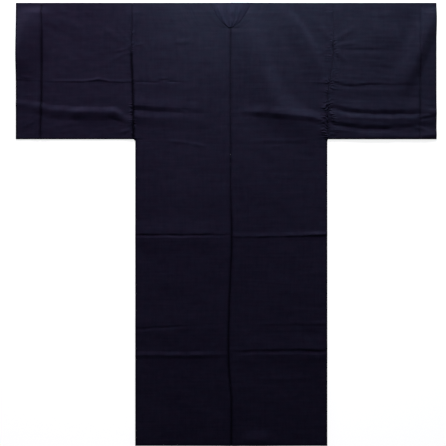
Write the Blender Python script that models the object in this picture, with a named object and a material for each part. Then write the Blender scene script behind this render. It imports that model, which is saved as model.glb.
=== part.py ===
"""A man's unlined kimono laid flat, its back upward and its shoulder line toward +Y.

Each cut piece of cloth is one closed solid: a wall of even thickness through a grid of points.
A grid's rows run from the back hem up to the shoulder line, over the fold there and down the
front. "Depth" is the distance down from the shoulder line. Left and right are the wearer's,
which seen from the back are the viewer's too: the wearer's left side is at -X.
The front overlap is closed left over right, so in this face-down garment the left front lies
lowest, the right front lies on it, and the two backs lie on top.
"""

import math
from collections import namedtuple

import bpy

# Driving dimensions, in metres
LENGTH = 1.400  # shoulder line to hem
SPAN = 1.329  # cuff to cuff
SLEEVE_DEPTH = 0.4315  # shoulder line to the sleeve's lower edge
SIDE_LEFT = -0.2872  # x of the body's straight side edges
SIDE_RIGHT = 0.3195
TAPER = 0.006  # depth in which the body narrows, just below the sleeves

WALL = 0.0012  # cloth, doubled at every seam
COLLAR_WALL = 0.0020  # the collar is folded cloth, so it is thicker
SEAM_GAP = 0.0003  # between two pieces at a seam
NECK_GAP = 0.0006  # the same, measured across the slanting neck seam
LAYER_GAP = 0.0005  # between a layer and the one that it lies on

CENTRE = 0.0141  # x of the neck's middle and of the fronts' centre line
NECK_HALF = 0.062  # half the neck's width at the shoulder line
NECK_DROP = 0.0795  # how far the neck is cut down into the back
COLLAR_WIDTH = 0.060
COLLAR_END = 0.680  # depth at which the collar ends
COLLAR_CROSS = 0.026  # how far past the centre line its seam has come there
OVERLAP_TIP = 0.250  # depth of the overlap panel's pointed top
OVERLAP_SEAM_HEM = 0.064  # from the centre line to the overlap panel's long seam, at the hem
FRONT_EDGE = COLLAR_CROSS + COLLAR_WIDTH  # from the centre line to the overlap's free edge

# How a layer settles beside what it lies over
SEAT_MARGIN = 0.040  # it stays at full height so far past the lower piece's edge
SEAT_RUN = 0.150  # and then comes down over this distance
FOLD_SPREAD = 0.0024  # least distance between the middles of the two walls at a fold
COLLAR_FOLD_SPREAD = 0.0032
FOLD_EASE = 0.050  # depth over which a fold's own rise dies away
FOLD_STEPS = 6  # facets round a fold
SEAM_SWELL = 0.0006  # the cloth rises a little beside a seam
SWELL_NEAR = 0.008  # where that rise is highest
SWELL_FAR = 0.028  # and where it has gone
NEAR_SHARE = 1 / 5  # both are no more than these shares of a narrow piece's width
FAR_SHARE = 1 / 3

# Seam lines: depth, x
CENTRE_SEAM = ((0.624, 0.0141), (0.690, 0.0170), (0.790, 0.0172), (0.940, 0.0103),
               (1.060, 0.0068), (1.150, 0.0085), (1.250, 0.0166))
ARMHOLE_LEFT = ((0.000, -0.2961), (0.160, -0.2996), (0.215, -0.2970), (0.290, -0.2935),
                (0.400, -0.2929))
ARMHOLE_RIGHT = ((0.000, 0.3378), (0.160, 0.3378), (0.215, 0.3320), (0.290, 0.3215))
STRIP_SEAM_LEFT = ((0.290, -0.5829), (0.400, -0.5868))
STRIP_SEAM_RIGHT = ((0.000, 0.6129),)
# The neck's cut edge in the back: depth, half width
NECK_LINE = ((0.000, NECK_HALF), (0.0386, 0.046), (0.069, 0.025), (0.077, 0.012),
             (NECK_DROP, 0.0))
# Folds in the collar behind the neck: place across it from -1 to 1, height
COLLAR_FOLDS = ((-1.0, 0.0), (-0.8, 0.0012), (-0.6, 0.0003), (-0.42, 0.0014), (-0.22, 0.0001),
                (-0.032, 0.0008), (0.032, 0.0009), (0.2, 0.0001), (0.4, 0.0013), (0.62, 0.0002),
                (0.82, 0.0011), (1.0, 0.0))

# A crease in the upper layer. line: x and depth along it. swell: x and height along it.
# A ridge rises over its line; a valley rises on both sides of it and dips on the line.
Crease = namedtuple("Crease", "form half_width line swell")

LEFT_BODY_CREASES = (
    Crease("valley", 0.008, ((-0.287, 0.250), (-0.145, 0.251)),
           ((-0.300, 0.0010), (-0.190, 0.0009), (-0.120, 0.0))),
    Crease("valley", 0.010, ((-0.287, 0.336), (-0.070, 0.346)),
           ((-0.300, 0.0022), (-0.130, 0.0018), (-0.040, 0.0))),
    Crease("valley", 0.010, ((-0.287, 0.7325), (0.015, 0.7325)),
           ((-0.300, 0.0022), (-0.060, 0.0016), (0.010, 0.0005))),
    Crease("valley", 0.008, ((-0.287, 1.028), (0.010, 1.012)),
           ((-0.300, 0.0008), (-0.150, 0.0006), (0.010, 0.0003))),
    Crease("ridge", 0.012, ((-0.287, 1.1136), (0.006, 1.112)),
           ((-0.300, 0.0012), (-0.080, 0.0018), (0.006, 0.0006))),
)
RIGHT_BODY_CREASES = (
    Crease("ridge", 0.008, ((0.250, 0.2504), (0.325, 0.2504)),
           ((0.230, 0.0), (0.290, 0.0008), (0.320, 0.0010))),
    Crease("ridge", 0.012, ((0.075, 0.345), (0.202, 0.353), (0.322, 0.375)),
           ((0.040, 0.0), (0.110, 0.0024), (0.300, 0.0022), (0.325, 0.0012))),
    Crease("ridge", 0.010, ((0.018, 0.737), (0.320, 0.7335)),
           ((0.018, 0.0005), (0.100, 0.0016), (0.300, 0.0018))),
    Crease("ridge", 0.010, ((0.018, 1.014), (0.320, 1.014)),
           ((0.100, 0.0), (0.200, 0.0007), (0.320, 0.0007))),
    Crease("valley", 0.010, ((0.010, 1.107), (0.320, 1.104)),
           ((0.015, 0.0003), (0.100, 0.0016), (0.300, 0.0022))),
)
LEFT_SLEEVE_CREASES = (
    Crease("ridge", 0.008, ((-0.660, 0.238), (-0.600, 0.245), (-0.300, 0.248)),
           ((-0.660, 0.0006), (-0.590, 0.0004), (-0.500, 0.0009), (-0.405, 0.0016),
            (-0.300, 0.0007))),
    Crease("ridge", 0.012, ((-0.652, 0.333), (-0.588, 0.345), (-0.440, 0.351), (-0.300, 0.363)),
           ((-0.664, 0.0009), (-0.580, 0.0016), (-0.430, 0.0026), (-0.300, 0.0020))),
)
RIGHT_SLEEVE_CREASES = (
    Crease("valley", 0.007, ((0.340, 0.259), (0.590, 0.261)),
           ((0.330, 0.0009), (0.430, 0.0014), (0.570, 0.0010), (0.620, 0.0))),
    Crease("valley", 0.008, ((0.340, 0.334), (0.460, 0.345), (0.660, 0.350)),
           ((0.330, 0.0018), (0.600, 0.0016), (0.660, 0.0010))),
    Crease("ridge", 0.009, ((0.325, 0.370), (0.400, 0.376), (0.600, 0.377), (0.660, 0.372)),
           ((0.325, 0.0018), (0.400, 0.0024), (0.560, 0.0020), (0.620, 0.0006))),
)
# Broad soft folds, where the cloth isn't smoothed quite flat
LEFT_SOFT_FOLDS = (
    Crease("ridge", 0.060, ((-0.664, 0.030), (-0.560, 0.090), (-0.450, 0.190)),
           ((-0.664, 0.0022), (-0.600, 0.0010), (-0.450, 0.0))),
)
RIGHT_SOFT_FOLDS = (
    Crease("ridge", 0.060, ((0.100, 0.060), (0.312, 0.345)),
           ((0.095, 0.0), (0.150, 0.0020), (0.290, 0.0018), (0.325, 0.0))),
    Crease("ridge", 0.050, ((0.180, 0.020), (0.400, 0.300)),
           ((0.170, 0.0), (0.230, 0.0014), (0.330, 0.0012), (0.400, 0.0))),
    Crease("ridge", 0.070, ((0.540, 0.290), (0.664, 0.070)),
           ((0.540, 0.0), (0.600, 0.0016), (0.664, 0.0016))),
)
CREASE_ROWS = {"ridge": (-1.0, -0.5, 0.0, 0.5, 1.0),
               "valley": (-2.0, -1.0, -0.5, 0.0, 0.5, 1.0, 2.0)}

# Depths of the plain rows of points. Those at the seams' bends are shared by both pieces of a
# seam, and creases add rows of their own.
FOLD_START = 0.006  # the first row past a fold
SETTLED = 0.022  # past the fold's start, the cloth's relief has its full height from here
SHOULDER_ROWS = (SETTLED, 0.050, 0.120)
NECK_ROWS = (0.0386, 0.069, 0.077, NECK_DROP)
ARMHOLE_ROWS = (0.160, 0.215, 0.290, 0.400, SLEEVE_DEPTH)
BACK_ROWS = (FOLD_START, SETTLED, *NECK_ROWS, 0.120, *ARMHOLE_ROWS, SLEEVE_DEPTH + TAPER, 0.530,
             0.624, 0.690, 0.790, 0.860, 0.940, 0.985, 1.060, 1.150, 1.189, 1.250, 1.330, LENGTH)
FRONT_ROWS = (FOLD_START, 0.030, 0.090, 0.160, 0.215, OVERLAP_TIP, 0.290, 0.345, 0.400,
              SLEEVE_DEPTH, SLEEVE_DEPTH + TAPER, 0.530, 0.620, 0.680, 0.730, 0.830, 0.950,
              1.100, 1.250, LENGTH)
SLEEVE_BACK_ROWS = (FOLD_START, *SHOULDER_ROWS, *ARMHOLE_ROWS)
SLEEVE_FRONT_ROWS = (FOLD_START, 0.060, *ARMHOLE_ROWS)
OVERLAP_ROWS_BY_COLLAR = (0.262, 0.300, 0.360, 0.430, 0.500, 0.580, 0.640)
OVERLAP_ROWS_BELOW = (COLLAR_END + SEAM_GAP / 2, 0.730, 0.830, 0.950, 1.100, 1.250, LENGTH)
COLLAR_BACK_ROWS = (0.0765, 0.069, 0.054, 0.0386, SETTLED, FOLD_START)
COLLAR_ARM_ROWS = (FOLD_START, 0.040, 0.110, 0.200, 0.300, 0.400, 0.500, 0.590,
                   COLLAR_END - SEAM_GAP / 2)

# How many even strips a grid has across
BODY_STRIPS = 7
SLEEVE_STRIPS = 6
SLEEVE_END_STRIPS = 1
OVERLAP_STRIPS = 3  # from its long seam to the collar's line
EDGE_STRIPS = 2  # and on to its free edge, below the collar's end

COLOURS = {"body": (0.0120, 0.0100, 0.0230), "sleeve": (0.0115, 0.0100, 0.0235),
           "collar": (0.0150, 0.0150, 0.0300)}
ROUGHNESS = 0.85


def ease(amount):
    """0 below 0, 1 above 1, and a smooth rise between."""
    amount = min(max(amount, 0.0), 1.0)
    return amount * amount * (3.0 - 2.0 * amount)


def mix(start, end, amount):
    return start + (end - start) * amount


def along(table, where):
    """The second column's value at a place in the first, straight between rows."""
    if where <= table[0][0]:
        return table[0][1]
    for (a, value_a), (b, value_b) in zip(table, table[1:]):
        if where <= b:
            return mix(value_a, value_b, (where - a) / (b - a))
    return table[-1][1]


# The fronts. "Reach" is measured from the centre line toward the other side, on either front.
def collar_seam(depth):
    """Reach of the seam between the collar and its front."""
    return mix(-NECK_HALF, COLLAR_CROSS, depth / COLLAR_END)


def overlap_seam(depth):
    """Reach of the long seam between a front and its overlap panel."""
    share = (depth - OVERLAP_TIP) / (LENGTH - OVERLAP_TIP)
    return mix(collar_seam(OVERLAP_TIP), -OVERLAP_SEAM_HEM, share)


def front_edge(depth):
    """Reach of a front's free edge: the collar's, and below it the overlap panel's."""
    return min(collar_seam(depth) + COLLAR_WIDTH, FRONT_EDGE)


# How the layers lie on each other
def over(distance):
    """1 over a piece and within the margin of its edge, easing to 0 past that."""
    return 1.0 - ease((distance - SEAT_MARGIN) / SEAT_RUN)


def front_thickness(reach, depth):
    """A front's thickness with room for the thicker collar near it."""
    near_collar = over(collar_seam(depth) - reach) * over(depth - COLLAR_END)
    return mix(WALL, COLLAR_WALL, near_collar) + LAYER_GAP


def left_floor(x, depth):
    """The left front is the lowest layer and lies flat."""
    return 0.0


def right_floor(x, depth):
    """Underside of the right front, which climbs onto the left one."""
    reach = x - CENTRE
    return over(reach - front_edge(depth)) * front_thickness(reach, depth)


def back_floor(x, depth):
    """Underside of the backs, which lie on both fronts."""
    reach = x - CENTRE
    on_left = over(reach - front_edge(depth)) * front_thickness(reach, depth)
    on_right = on_left + front_thickness(-reach, depth)
    return mix(on_left, on_right, over(-reach - front_edge(depth)))


def sleeve_floor(x, depth):
    """Underside of a sleeve's upper layer."""
    return WALL + LAYER_GAP


def crease_height(crease, x, depth):
    """How far one crease lifts the cloth at a point."""
    away = abs(depth - along(crease.line, x)) / crease.half_width
    swell = along(crease.swell, x)
    if crease.form == "ridge":
        return swell * math.cos(away * math.pi / 2) ** 2 if away < 1.0 else 0.0
    if away < 1.0:
        return swell * math.sin(away * math.pi / 2) ** 2
    return swell * math.cos((away - 1.0) * math.pi / 2) ** 2 if away < 2.0 else 0.0


def total_relief(x, depth, creases):
    return sum(crease_height(crease, x, depth) for crease in creases)


def seam_swell(distance):
    """The rise of the cloth beside a seam."""
    if distance < SWELL_NEAR:
        return SEAM_SWELL * ease(distance / SWELL_NEAR)
    return SEAM_SWELL * (1.0 - ease((distance - SWELL_NEAR) / (SWELL_FAR - SWELL_NEAR)))


def settling(depth):
    """0 at the shoulder fold, easing to 1 below it: the share of the relief that is there."""
    return ease((depth - FOLD_START) / SETTLED)


# Columns and rows of a grid
def columns(left, right, divisions):
    """Places across a piece: close together beside its edges, even between."""
    near = min(SWELL_NEAR, (right - left) * NEAR_SHARE)
    far = min(SWELL_FAR, (right - left) * FAR_SHARE)
    first = left + far
    last = right - far
    inside = [mix(first, last, step / divisions) for step in range(divisions + 1)]
    return [left, left + near, *inside, right - near, right]


def upper_rows(plain, creases):
    """Rows of an upper layer in order, each a function from x to depth, shallow to deep."""
    rows = [lambda x, depth=depth: depth for depth in plain]
    for crease in creases:
        for step in CREASE_ROWS[crease.form]:
            rows.append(lambda x, crease=crease, step=step:
                        along(crease.line, x) + step * crease.half_width)
    return rows


def point(x, depth, z):
    return (x, LENGTH / 2 - depth, z)


def flat_pair(x, depth, underside, wall, facing_up):
    """Outer and inner point of a wall that lies flat."""
    top = point(x, depth, underside + wall)
    bottom = point(x, depth, underside)
    return (top, bottom) if facing_up else (bottom, top)


def fold_pairs(x, lower, upper, wall):
    """Outer and inner points round the shoulder fold, from the upper layer to the lower."""
    radius = (upper - lower) / 2
    middle_z = (upper + lower) / 2 + wall / 2
    middle_depth = radius + wall / 2
    pairs = []
    for step in range(FOLD_STEPS + 1):
        angle = math.pi * (0.5 - step / FOLD_STEPS)
        outward = (math.cos(angle), math.sin(angle))
        pair = []
        for distance in (radius + wall / 2, radius - wall / 2):
            pair.append(point(x, middle_depth - outward[0] * distance,
                              middle_z + outward[1] * distance))
        pairs.append(tuple(pair))
    return pairs


def folded_grid(divisions, back_rows, front_rows, back_edges, front_edges, heights, wall, spread):
    """A piece that goes over the shoulder line: rows from the back hem to the front hem.

    heights: functions of x and depth for the lower layer's underside, the upper layer's
    underside, and the upper layer's relief, which also takes the piece's edges.
    """
    lower, upper, relief = heights
    across = len(columns(0.0, 1.0, divisions))

    def raised(x, depth):
        short = spread - (upper(x, 0.0) - lower(x, 0.0))
        return upper(x, depth) + max(short, 0.0) * (1.0 - ease(depth / FOLD_EASE))

    back = []
    for row in back_rows:
        depth = row((back_edges(LENGTH / 2)[0] + back_edges(LENGTH / 2)[1]) / 2)
        left = back_edges(row(back_edges(depth)[0]))[0]
        right = back_edges(row(back_edges(depth)[1]))[1]
        pairs = []
        for x in columns(left, right, divisions):
            underside = raised(x, row(x)) + relief(x, row(x), left, right)
            pairs.append(flat_pair(x, row(x), underside, wall, True))
        back.append((depth, pairs))
    back.sort(key=lambda entry: entry[0], reverse=True)

    left, right = back_edges(0.0)
    round_fold = [fold_pairs(x, lower(x, 0.0), raised(x, 0.0), wall)
                  for x in columns(left, right, divisions)]
    fold = [[round_fold[column][step] for column in range(across)]
            for step in range(FOLD_STEPS + 1)]

    front = []
    for depth in front_rows:
        left, right = front_edges(depth)
        front.append([flat_pair(x, depth, lower(x, depth), wall, False)
                      for x in columns(left, right, divisions)])
    return [pairs for depth, pairs in back] + fold + front


def sheet(name, colour, grid, missing=lambda row, column: False):
    """One closed solid from a grid of outer and inner points. Cells can be left out."""
    vertices = [corner for row in grid for pair in row for corner in pair]
    across = len(grid[0])

    def outer(row, column):
        return 2 * (row * across + column)

    faces = []
    edges = {}
    for row in range(len(grid) - 1):
        for column in range(across - 1):
            if missing(row, column):
                continue
            corners = (outer(row, column), outer(row, column + 1),
                       outer(row + 1, column + 1), outer(row + 1, column))
            faces.append(corners)
            faces.append(tuple(corner + 1 for corner in reversed(corners)))
            for start, end in zip(corners, corners[1:] + corners[:1]):
                edges[(start, end)] = True
    for start, end in edges:
        if (end, start) not in edges:
            faces.append((end, start, start + 1, end + 1))

    used = sorted({corner for face in faces for corner in face})
    order = {corner: place for place, corner in enumerate(used)}
    mesh = bpy.data.meshes.new(name)
    mesh.from_pydata([vertices[corner] for corner in used], [],
                     [tuple(order[corner] for corner in face) for face in faces])
    mesh.update()
    mesh.materials.append(cloth_material(name, COLOURS[colour]))
    piece = bpy.data.objects.new(name, mesh)
    bpy.context.scene.collection.objects.link(piece)
    return piece


def cloth_material(name, colour):
    material = bpy.data.materials.new(name + "_cloth")
    material.use_nodes = True
    shader = material.node_tree.nodes["Principled BSDF"]
    shader.inputs["Base Color"].default_value = (*colour, 1.0)
    shader.inputs["Roughness"].default_value = ROUGHNESS
    shader.inputs["Metallic"].default_value = 0.0
    return material


# The pieces
def body(side):
    """One length of cloth: back and front of one side, cut away at the neck and the front."""
    left_side = side == "left"
    armhole = ARMHOLE_LEFT if left_side else ARMHOLE_RIGHT
    straight_side = SIDE_LEFT if left_side else SIDE_RIGHT
    outward = -1.0 if left_side else 1.0
    creases = LEFT_BODY_CREASES if left_side else RIGHT_BODY_CREASES
    folds = creases if left_side else creases + RIGHT_SOFT_FOLDS

    def outer_edge(depth):
        sewn = along(armhole, depth) - outward * SEAM_GAP / 2
        return mix(sewn, straight_side, min(max((depth - SLEEVE_DEPTH) / TAPER, 0.0), 1.0))

    def back_edges(depth):
        if depth < NECK_DROP:
            inner = CENTRE + outward * (along(NECK_LINE, depth) + NECK_GAP / 2)
        else:
            inner = along(CENTRE_SEAM, depth) + outward * SEAM_GAP / 2
        return tuple(sorted((outer_edge(depth), inner)))

    def front_edges(depth):
        seam = collar_seam(depth) if depth < OVERLAP_TIP else overlap_seam(depth)
        inner = CENTRE - outward * (seam - SEAM_GAP / 2)
        return tuple(sorted((outer_edge(depth), inner)))

    def relief(x, depth, left, right):
        beside_seam = right - x if left_side else x - left
        swell = seam_swell(beside_seam)
        if depth < SLEEVE_DEPTH:
            swell += seam_swell(x - left if left_side else right - x)
        return (swell + total_relief(x, depth, folds)) * settling(depth)

    floor = left_floor if left_side else right_floor
    grid = folded_grid(BODY_STRIPS, upper_rows(BACK_ROWS, creases), FRONT_ROWS, back_edges,
                       front_edges, (floor, back_floor, relief), WALL, FOLD_SPREAD)
    return sheet("body_" + side, "body", grid)


def sleeve_pieces(side):
    """The sleeve's main length and the strip joined on at its end, each folded at the top."""
    left_side = side == "left"
    armhole = ARMHOLE_LEFT if left_side else ARMHOLE_RIGHT
    strip_seam = STRIP_SEAM_LEFT if left_side else STRIP_SEAM_RIGHT
    outward = -1.0 if left_side else 1.0
    creases = LEFT_SLEEVE_CREASES if left_side else RIGHT_SLEEVE_CREASES
    folds = creases + (LEFT_SOFT_FOLDS if left_side else RIGHT_SOFT_FOLDS)
    half_gap = outward * SEAM_GAP / 2

    def main_edges(depth):
        ends = (along(armhole, depth) + half_gap, along(strip_seam, depth) - half_gap)
        return tuple(sorted(ends))

    def strip_edges(depth):
        return tuple(sorted((along(strip_seam, depth) + half_gap, outward * SPAN / 2)))

    def relief(x, depth, left, right):
        swell = seam_swell(min(x - left, right - x))
        return (swell + total_relief(x, depth, folds)) * settling(depth)

    rows = upper_rows(SLEEVE_BACK_ROWS, creases)
    for name, edges, strips in (("sleeve_", main_edges, SLEEVE_STRIPS),
                                ("sleeve_end_", strip_edges, SLEEVE_END_STRIPS)):
        grid = folded_grid(strips, rows, SLEEVE_FRONT_ROWS, edges, edges,
                           (left_floor, sleeve_floor, relief), WALL, FOLD_SPREAD)
        sheet(name + side, "sleeve", grid)


def overlap(side):
    """The narrow panel that widens a front, pointed at the top and cut back for the collar."""
    outward = -1.0 if side == "left" else 1.0
    floor = left_floor if side == "left" else right_floor
    grid = []
    for depth in OVERLAP_ROWS_BY_COLLAR + OVERLAP_ROWS_BELOW:
        seam = overlap_seam(depth) + SEAM_GAP / 2
        collar_side = min(collar_seam(depth), COLLAR_CROSS) - SEAM_GAP / 2
        reaches = [mix(seam, collar_side, step / OVERLAP_STRIPS)
                   for step in range(OVERLAP_STRIPS + 1)]
        reaches += [mix(collar_side, FRONT_EDGE, step / EDGE_STRIPS)
                    for step in range(1, EDGE_STRIPS + 1)]
        row = [flat_pair(CENTRE - outward * reach, depth,
                         floor(CENTRE - outward * reach, depth), WALL, False)
               for reach in reaches]
        grid.append(row if side == "left" else row[::-1])

    def above_collar_end(row, column):
        beside = column >= OVERLAP_STRIPS if side == "left" else column < EDGE_STRIPS
        return row < len(OVERLAP_ROWS_BY_COLLAR) and beside

    return sheet("overlap_" + side, "body", grid, above_collar_end)


def collar():
    """The band behind the neck, folded over the shoulder line into an arm down each front."""
    places = [place for place, height in COLLAR_FOLDS]
    half = len(places) // 2
    half_neck = NECK_HALF - NECK_GAP / 2

    def back_x(place, depth):
        return CENTRE + place * (along(NECK_LINE, depth) - NECK_GAP / 2)

    def arm_x(column, depth):
        outward = -1.0 if column < half else 1.0
        share = (1.0 - abs(places[column])) / (1.0 - abs(places[half]))
        reach = collar_seam(depth) + mix(SEAM_GAP, COLLAR_WIDTH, share)
        return CENTRE - outward * reach

    def floor(column, x, depth):
        return left_floor(x, depth) if column < half else right_floor(x, depth)

    def raised(column, x, depth):
        spread = back_floor(x, 0.0) - floor(column, x, 0.0)
        short = max(COLLAR_FOLD_SPREAD - spread, 0.0)
        return back_floor(x, depth) + short * (1.0 - ease(depth / FOLD_EASE))

    grid = []
    for depth in COLLAR_BACK_ROWS:
        row = []
        for column, (place, height) in enumerate(COLLAR_FOLDS):
            x = back_x(place, depth)
            underside = raised(column, x, depth) + height * settling(depth)
            row.append(flat_pair(x, depth, underside, COLLAR_WALL, True))
        grid.append(row)

    fold = []
    for column, place in enumerate(places):
        x = CENTRE + place * half_neck
        fold.append(fold_pairs(x, floor(column, x, 0.0), raised(column, x, 0.0), COLLAR_WALL))
    grid += [[fold[column][step] for column in range(len(places))]
             for step in range(FOLD_STEPS + 1)]

    for depth in COLLAR_ARM_ROWS:
        row = []
        for column in range(len(places)):
            x = arm_x(column, depth)
            row.append(flat_pair(x, depth, floor(column, x, depth), COLLAR_WALL, False))
        grid.append(row)

    def between_arms(row, column):
        return row >= len(COLLAR_BACK_ROWS) - 1 and column == half - 1

    return sheet("collar", "collar", grid, between_arms)


def clear_scene():
    for thing in list(bpy.data.objects):
        bpy.data.objects.remove(thing, do_unlink=True)


def build():
    clear_scene()
    for side in ("left", "right"):
        body(side)
        sleeve_pieces(side)
        overlap(side)
    collar()


build()
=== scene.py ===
# %% [markdown]
# # A dark navy kimono, laid flat with its back up
# A kimono is sewn from straight lengths of narrow cloth. Laid out to be looked at or folded, it
# is a few layers of cloth lying on each other, and what gives it life is small: the seams, the
# creases left by folding it away, the pucker beside a seam and the slubs in the weave. This
# lesson builds each cut piece as a thin closed sheet, on the solid that stands for it in the
# frame, and then dresses it in a woven material.

# %% Load the frame
import math
from collections import namedtuple

import bpy
import numpy as np
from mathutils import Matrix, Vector
from mathutils.bvhtree import BVHTree


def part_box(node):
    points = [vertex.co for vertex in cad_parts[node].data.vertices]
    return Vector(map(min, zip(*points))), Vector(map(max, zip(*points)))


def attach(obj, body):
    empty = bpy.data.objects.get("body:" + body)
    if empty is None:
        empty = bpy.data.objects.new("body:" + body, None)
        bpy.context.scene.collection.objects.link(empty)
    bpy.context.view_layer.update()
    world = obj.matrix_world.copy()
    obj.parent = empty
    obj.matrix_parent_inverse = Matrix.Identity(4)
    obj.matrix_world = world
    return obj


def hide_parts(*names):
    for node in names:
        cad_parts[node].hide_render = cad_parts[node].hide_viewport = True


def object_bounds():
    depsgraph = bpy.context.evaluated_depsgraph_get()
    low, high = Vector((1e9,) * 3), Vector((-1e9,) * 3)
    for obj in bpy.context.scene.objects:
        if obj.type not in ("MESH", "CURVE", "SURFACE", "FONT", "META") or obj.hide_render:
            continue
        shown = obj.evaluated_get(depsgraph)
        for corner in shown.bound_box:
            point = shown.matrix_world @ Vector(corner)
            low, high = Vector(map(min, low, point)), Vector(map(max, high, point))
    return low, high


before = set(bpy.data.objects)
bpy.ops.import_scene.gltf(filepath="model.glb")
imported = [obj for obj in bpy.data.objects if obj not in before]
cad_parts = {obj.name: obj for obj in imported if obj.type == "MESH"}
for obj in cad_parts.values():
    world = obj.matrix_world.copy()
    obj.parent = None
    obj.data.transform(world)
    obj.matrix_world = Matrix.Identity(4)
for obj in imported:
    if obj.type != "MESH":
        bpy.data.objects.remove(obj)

solid_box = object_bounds()
print("solids:", sorted(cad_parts), "box", [list(corner) for corner in solid_box])

# %% [markdown]
# ## Camera
# The photograph looks straight down on the garment. A long lens from high up keeps the edges as
# straight as they are there. The camera's sensor is as wide as the picture, so the lens follows
# from how much of the floor the picture takes in.

# %% Camera above the garment
PICTURE_WIDTH = 1.410
CAMERA_HEIGHT = 3.4
PICTURE_MIDDLE = (-0.0100, 0.0040)

camera_data = bpy.data.cameras.new("camera")
camera_data.sensor_width = 36.0
camera_data.lens = camera_data.sensor_width * CAMERA_HEIGHT / PICTURE_WIDTH
camera = bpy.data.objects.new("camera", camera_data)
camera.location = (*PICTURE_MIDDLE, CAMERA_HEIGHT)
bpy.context.scene.collection.objects.link(camera)
bpy.context.scene.camera = camera
print("lens", round(camera_data.lens, 1), "mm")

# %% [markdown]
# ## Sizes
# The frame gives the outline: the shoulder line, the hem, the cuffs and the side edges are the
# ends of the solids' boxes. What a box can't tell, such as where a seam runs inside it, is a
# named size or a short table here. Depth is the distance down from the shoulder line.

# %% Sizes from the frame
MM_PER_METRE = 1000.0
BOXES = {node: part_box(node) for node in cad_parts}
SHOULDER_Y = solid_box[1].y
LENGTH = solid_box[1].y - solid_box[0].y
CUFF = solid_box[1].x
SLEEVE_DEPTH = BOXES["sleeve_left"][1].y - BOXES["sleeve_left"][0].y
OVERLAP_TIP_ROW = SHOULDER_Y - BOXES["overlap_left"][1].y
SIDE_LEFT = -0.2872
SIDE_RIGHT = 0.3195
TAPER = 0.006

WALL = 0.0012
COLLAR_WALL = 0.0020
SEAM_GAP = 0.0003
NECK_LINE_GAP = 0.00015
LAYER_GAP = 0.0005

CENTRE = 0.0141
NECK_HALF = 0.062
NECK_DROP = 0.0795
COLLAR_WIDTH = 0.060
COLLAR_END = 0.680
COLLAR_CROSS = 0.026
OVERLAP_TIP = 0.250
OVERLAP_SEAM_HEM = 0.064
FRONT_EDGE = COLLAR_CROSS + COLLAR_WIDTH
print("shoulder to hem", round(LENGTH, 3), "cuff to cuff", round(2 * CUFF, 3),
      "sleeve depth", round(SLEEVE_DEPTH, 4))

# %% Seam lines, each a row of depth and x
CENTRE_SEAM = ((0.000, 0.0141), (0.624, 0.0141), (0.690, 0.0170), (0.790, 0.0172),
               (0.940, 0.0103), (1.060, 0.0068), (1.150, 0.0085), (1.250, 0.0166))
ARMHOLE_LEFT = ((0.000, -0.2961), (0.160, -0.2996), (0.215, -0.2970), (0.290, -0.2935),
                (0.400, -0.2929))
ARMHOLE_RIGHT = ((0.000, 0.3378), (0.160, 0.3378), (0.215, 0.3320), (0.290, 0.3215))
STRIP_SEAM_LEFT = ((0.000, -0.5829), (0.290, -0.5829), (0.400, -0.5868))
STRIP_SEAM_RIGHT = ((0.000, 0.6129),)


def along(table, where):
    """The table's second column at places in its first, straight between rows."""
    rows = np.array(table)
    return np.interp(where, rows[:, 0], rows[:, 1])


def ease(amount):
    """0 below 0, 1 above 1, and a smooth rise between."""
    amount = np.clip(amount, 0.0, 1.0)
    return amount * amount * (3.0 - 2.0 * amount)


def mix(start, end, amount):
    return start + (end - start) * amount


# %% [markdown]
# ## How the layers lie
# The garment is closed left over right and lies on its front, so the left front is lowest, the
# right front lies on it, and the two backs lie on both. Each layer stays at its full height just
# past the edge of what it covers and then comes down over some 15 centimetres, as cloth does.
# The solids follow the same rules, so the sheets lie in them.

# %% Heights of the layers
SEAT_MARGIN = 0.040
SEAT_RUN = 0.150
FOLD_SPREAD = 0.0024
COLLAR_FOLD_SPREAD = 0.0032
FOLD_EASE = 0.050
FOLD_START = 0.006


def collar_seam(depth):
    """How far past the centre line the collar's seam has come, on either front."""
    return mix(-NECK_HALF, COLLAR_CROSS, depth / COLLAR_END)


def overlap_seam(depth):
    """The same for the long seam between a front and its overlap panel."""
    share = (depth - OVERLAP_TIP) / (LENGTH - OVERLAP_TIP)
    return mix(collar_seam(OVERLAP_TIP), -OVERLAP_SEAM_HEM, share)


def front_edge(depth):
    return np.minimum(collar_seam(depth) + COLLAR_WIDTH, FRONT_EDGE)


def over(distance):
    """1 over a piece and just past its edge, easing to 0 beyond."""
    return 1.0 - ease((distance - SEAT_MARGIN) / SEAT_RUN)


def front_thickness(reach, depth):
    near_collar = over(collar_seam(depth) - reach) * over(depth - COLLAR_END)
    return mix(WALL, COLLAR_WALL, near_collar) + LAYER_GAP


def left_floor(x, depth):
    return np.zeros_like(x + depth)


def right_floor(x, depth):
    reach = x - CENTRE
    return over(reach - front_edge(depth)) * front_thickness(reach, depth)


def back_floor(x, depth):
    reach = x - CENTRE
    on_left = over(reach - front_edge(depth)) * front_thickness(reach, depth)
    on_right = on_left + front_thickness(-reach, depth)
    return mix(on_left, on_right, over(-reach - front_edge(depth)))


def sleeve_floor(x, depth):
    return np.full_like(x + depth, WALL + LAYER_GAP)


FLOORS = {"left": left_floor, "right": right_floor}
print("back over the fronts, mm:", np.round(1000 * back_floor(np.array([-0.28, 0.0, 0.3]), 0.3), 2))

# %% [markdown]
# ## Creases
# A kimono is put away folded in a fixed way, so its creases cross it in straight lines. Each is
# placed from the photograph: where its line runs, how high the cloth stands beside it, and how
# wide its two flanks are, the one toward the shoulders and the one toward the hem. A ridge stands
# up over its line. A valley has the cloth raised broadly around it and dips sharply on its line.
# A small wander keeps a line from being ruled, and its height from being even.

# %% Crease tables
# above and below: widths of the two flanks. line: x and depth along it. swell: x and height
# along it. flat: width of a flat top above the line.
Crease = namedtuple("Crease", "form above below line swell flat")


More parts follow.
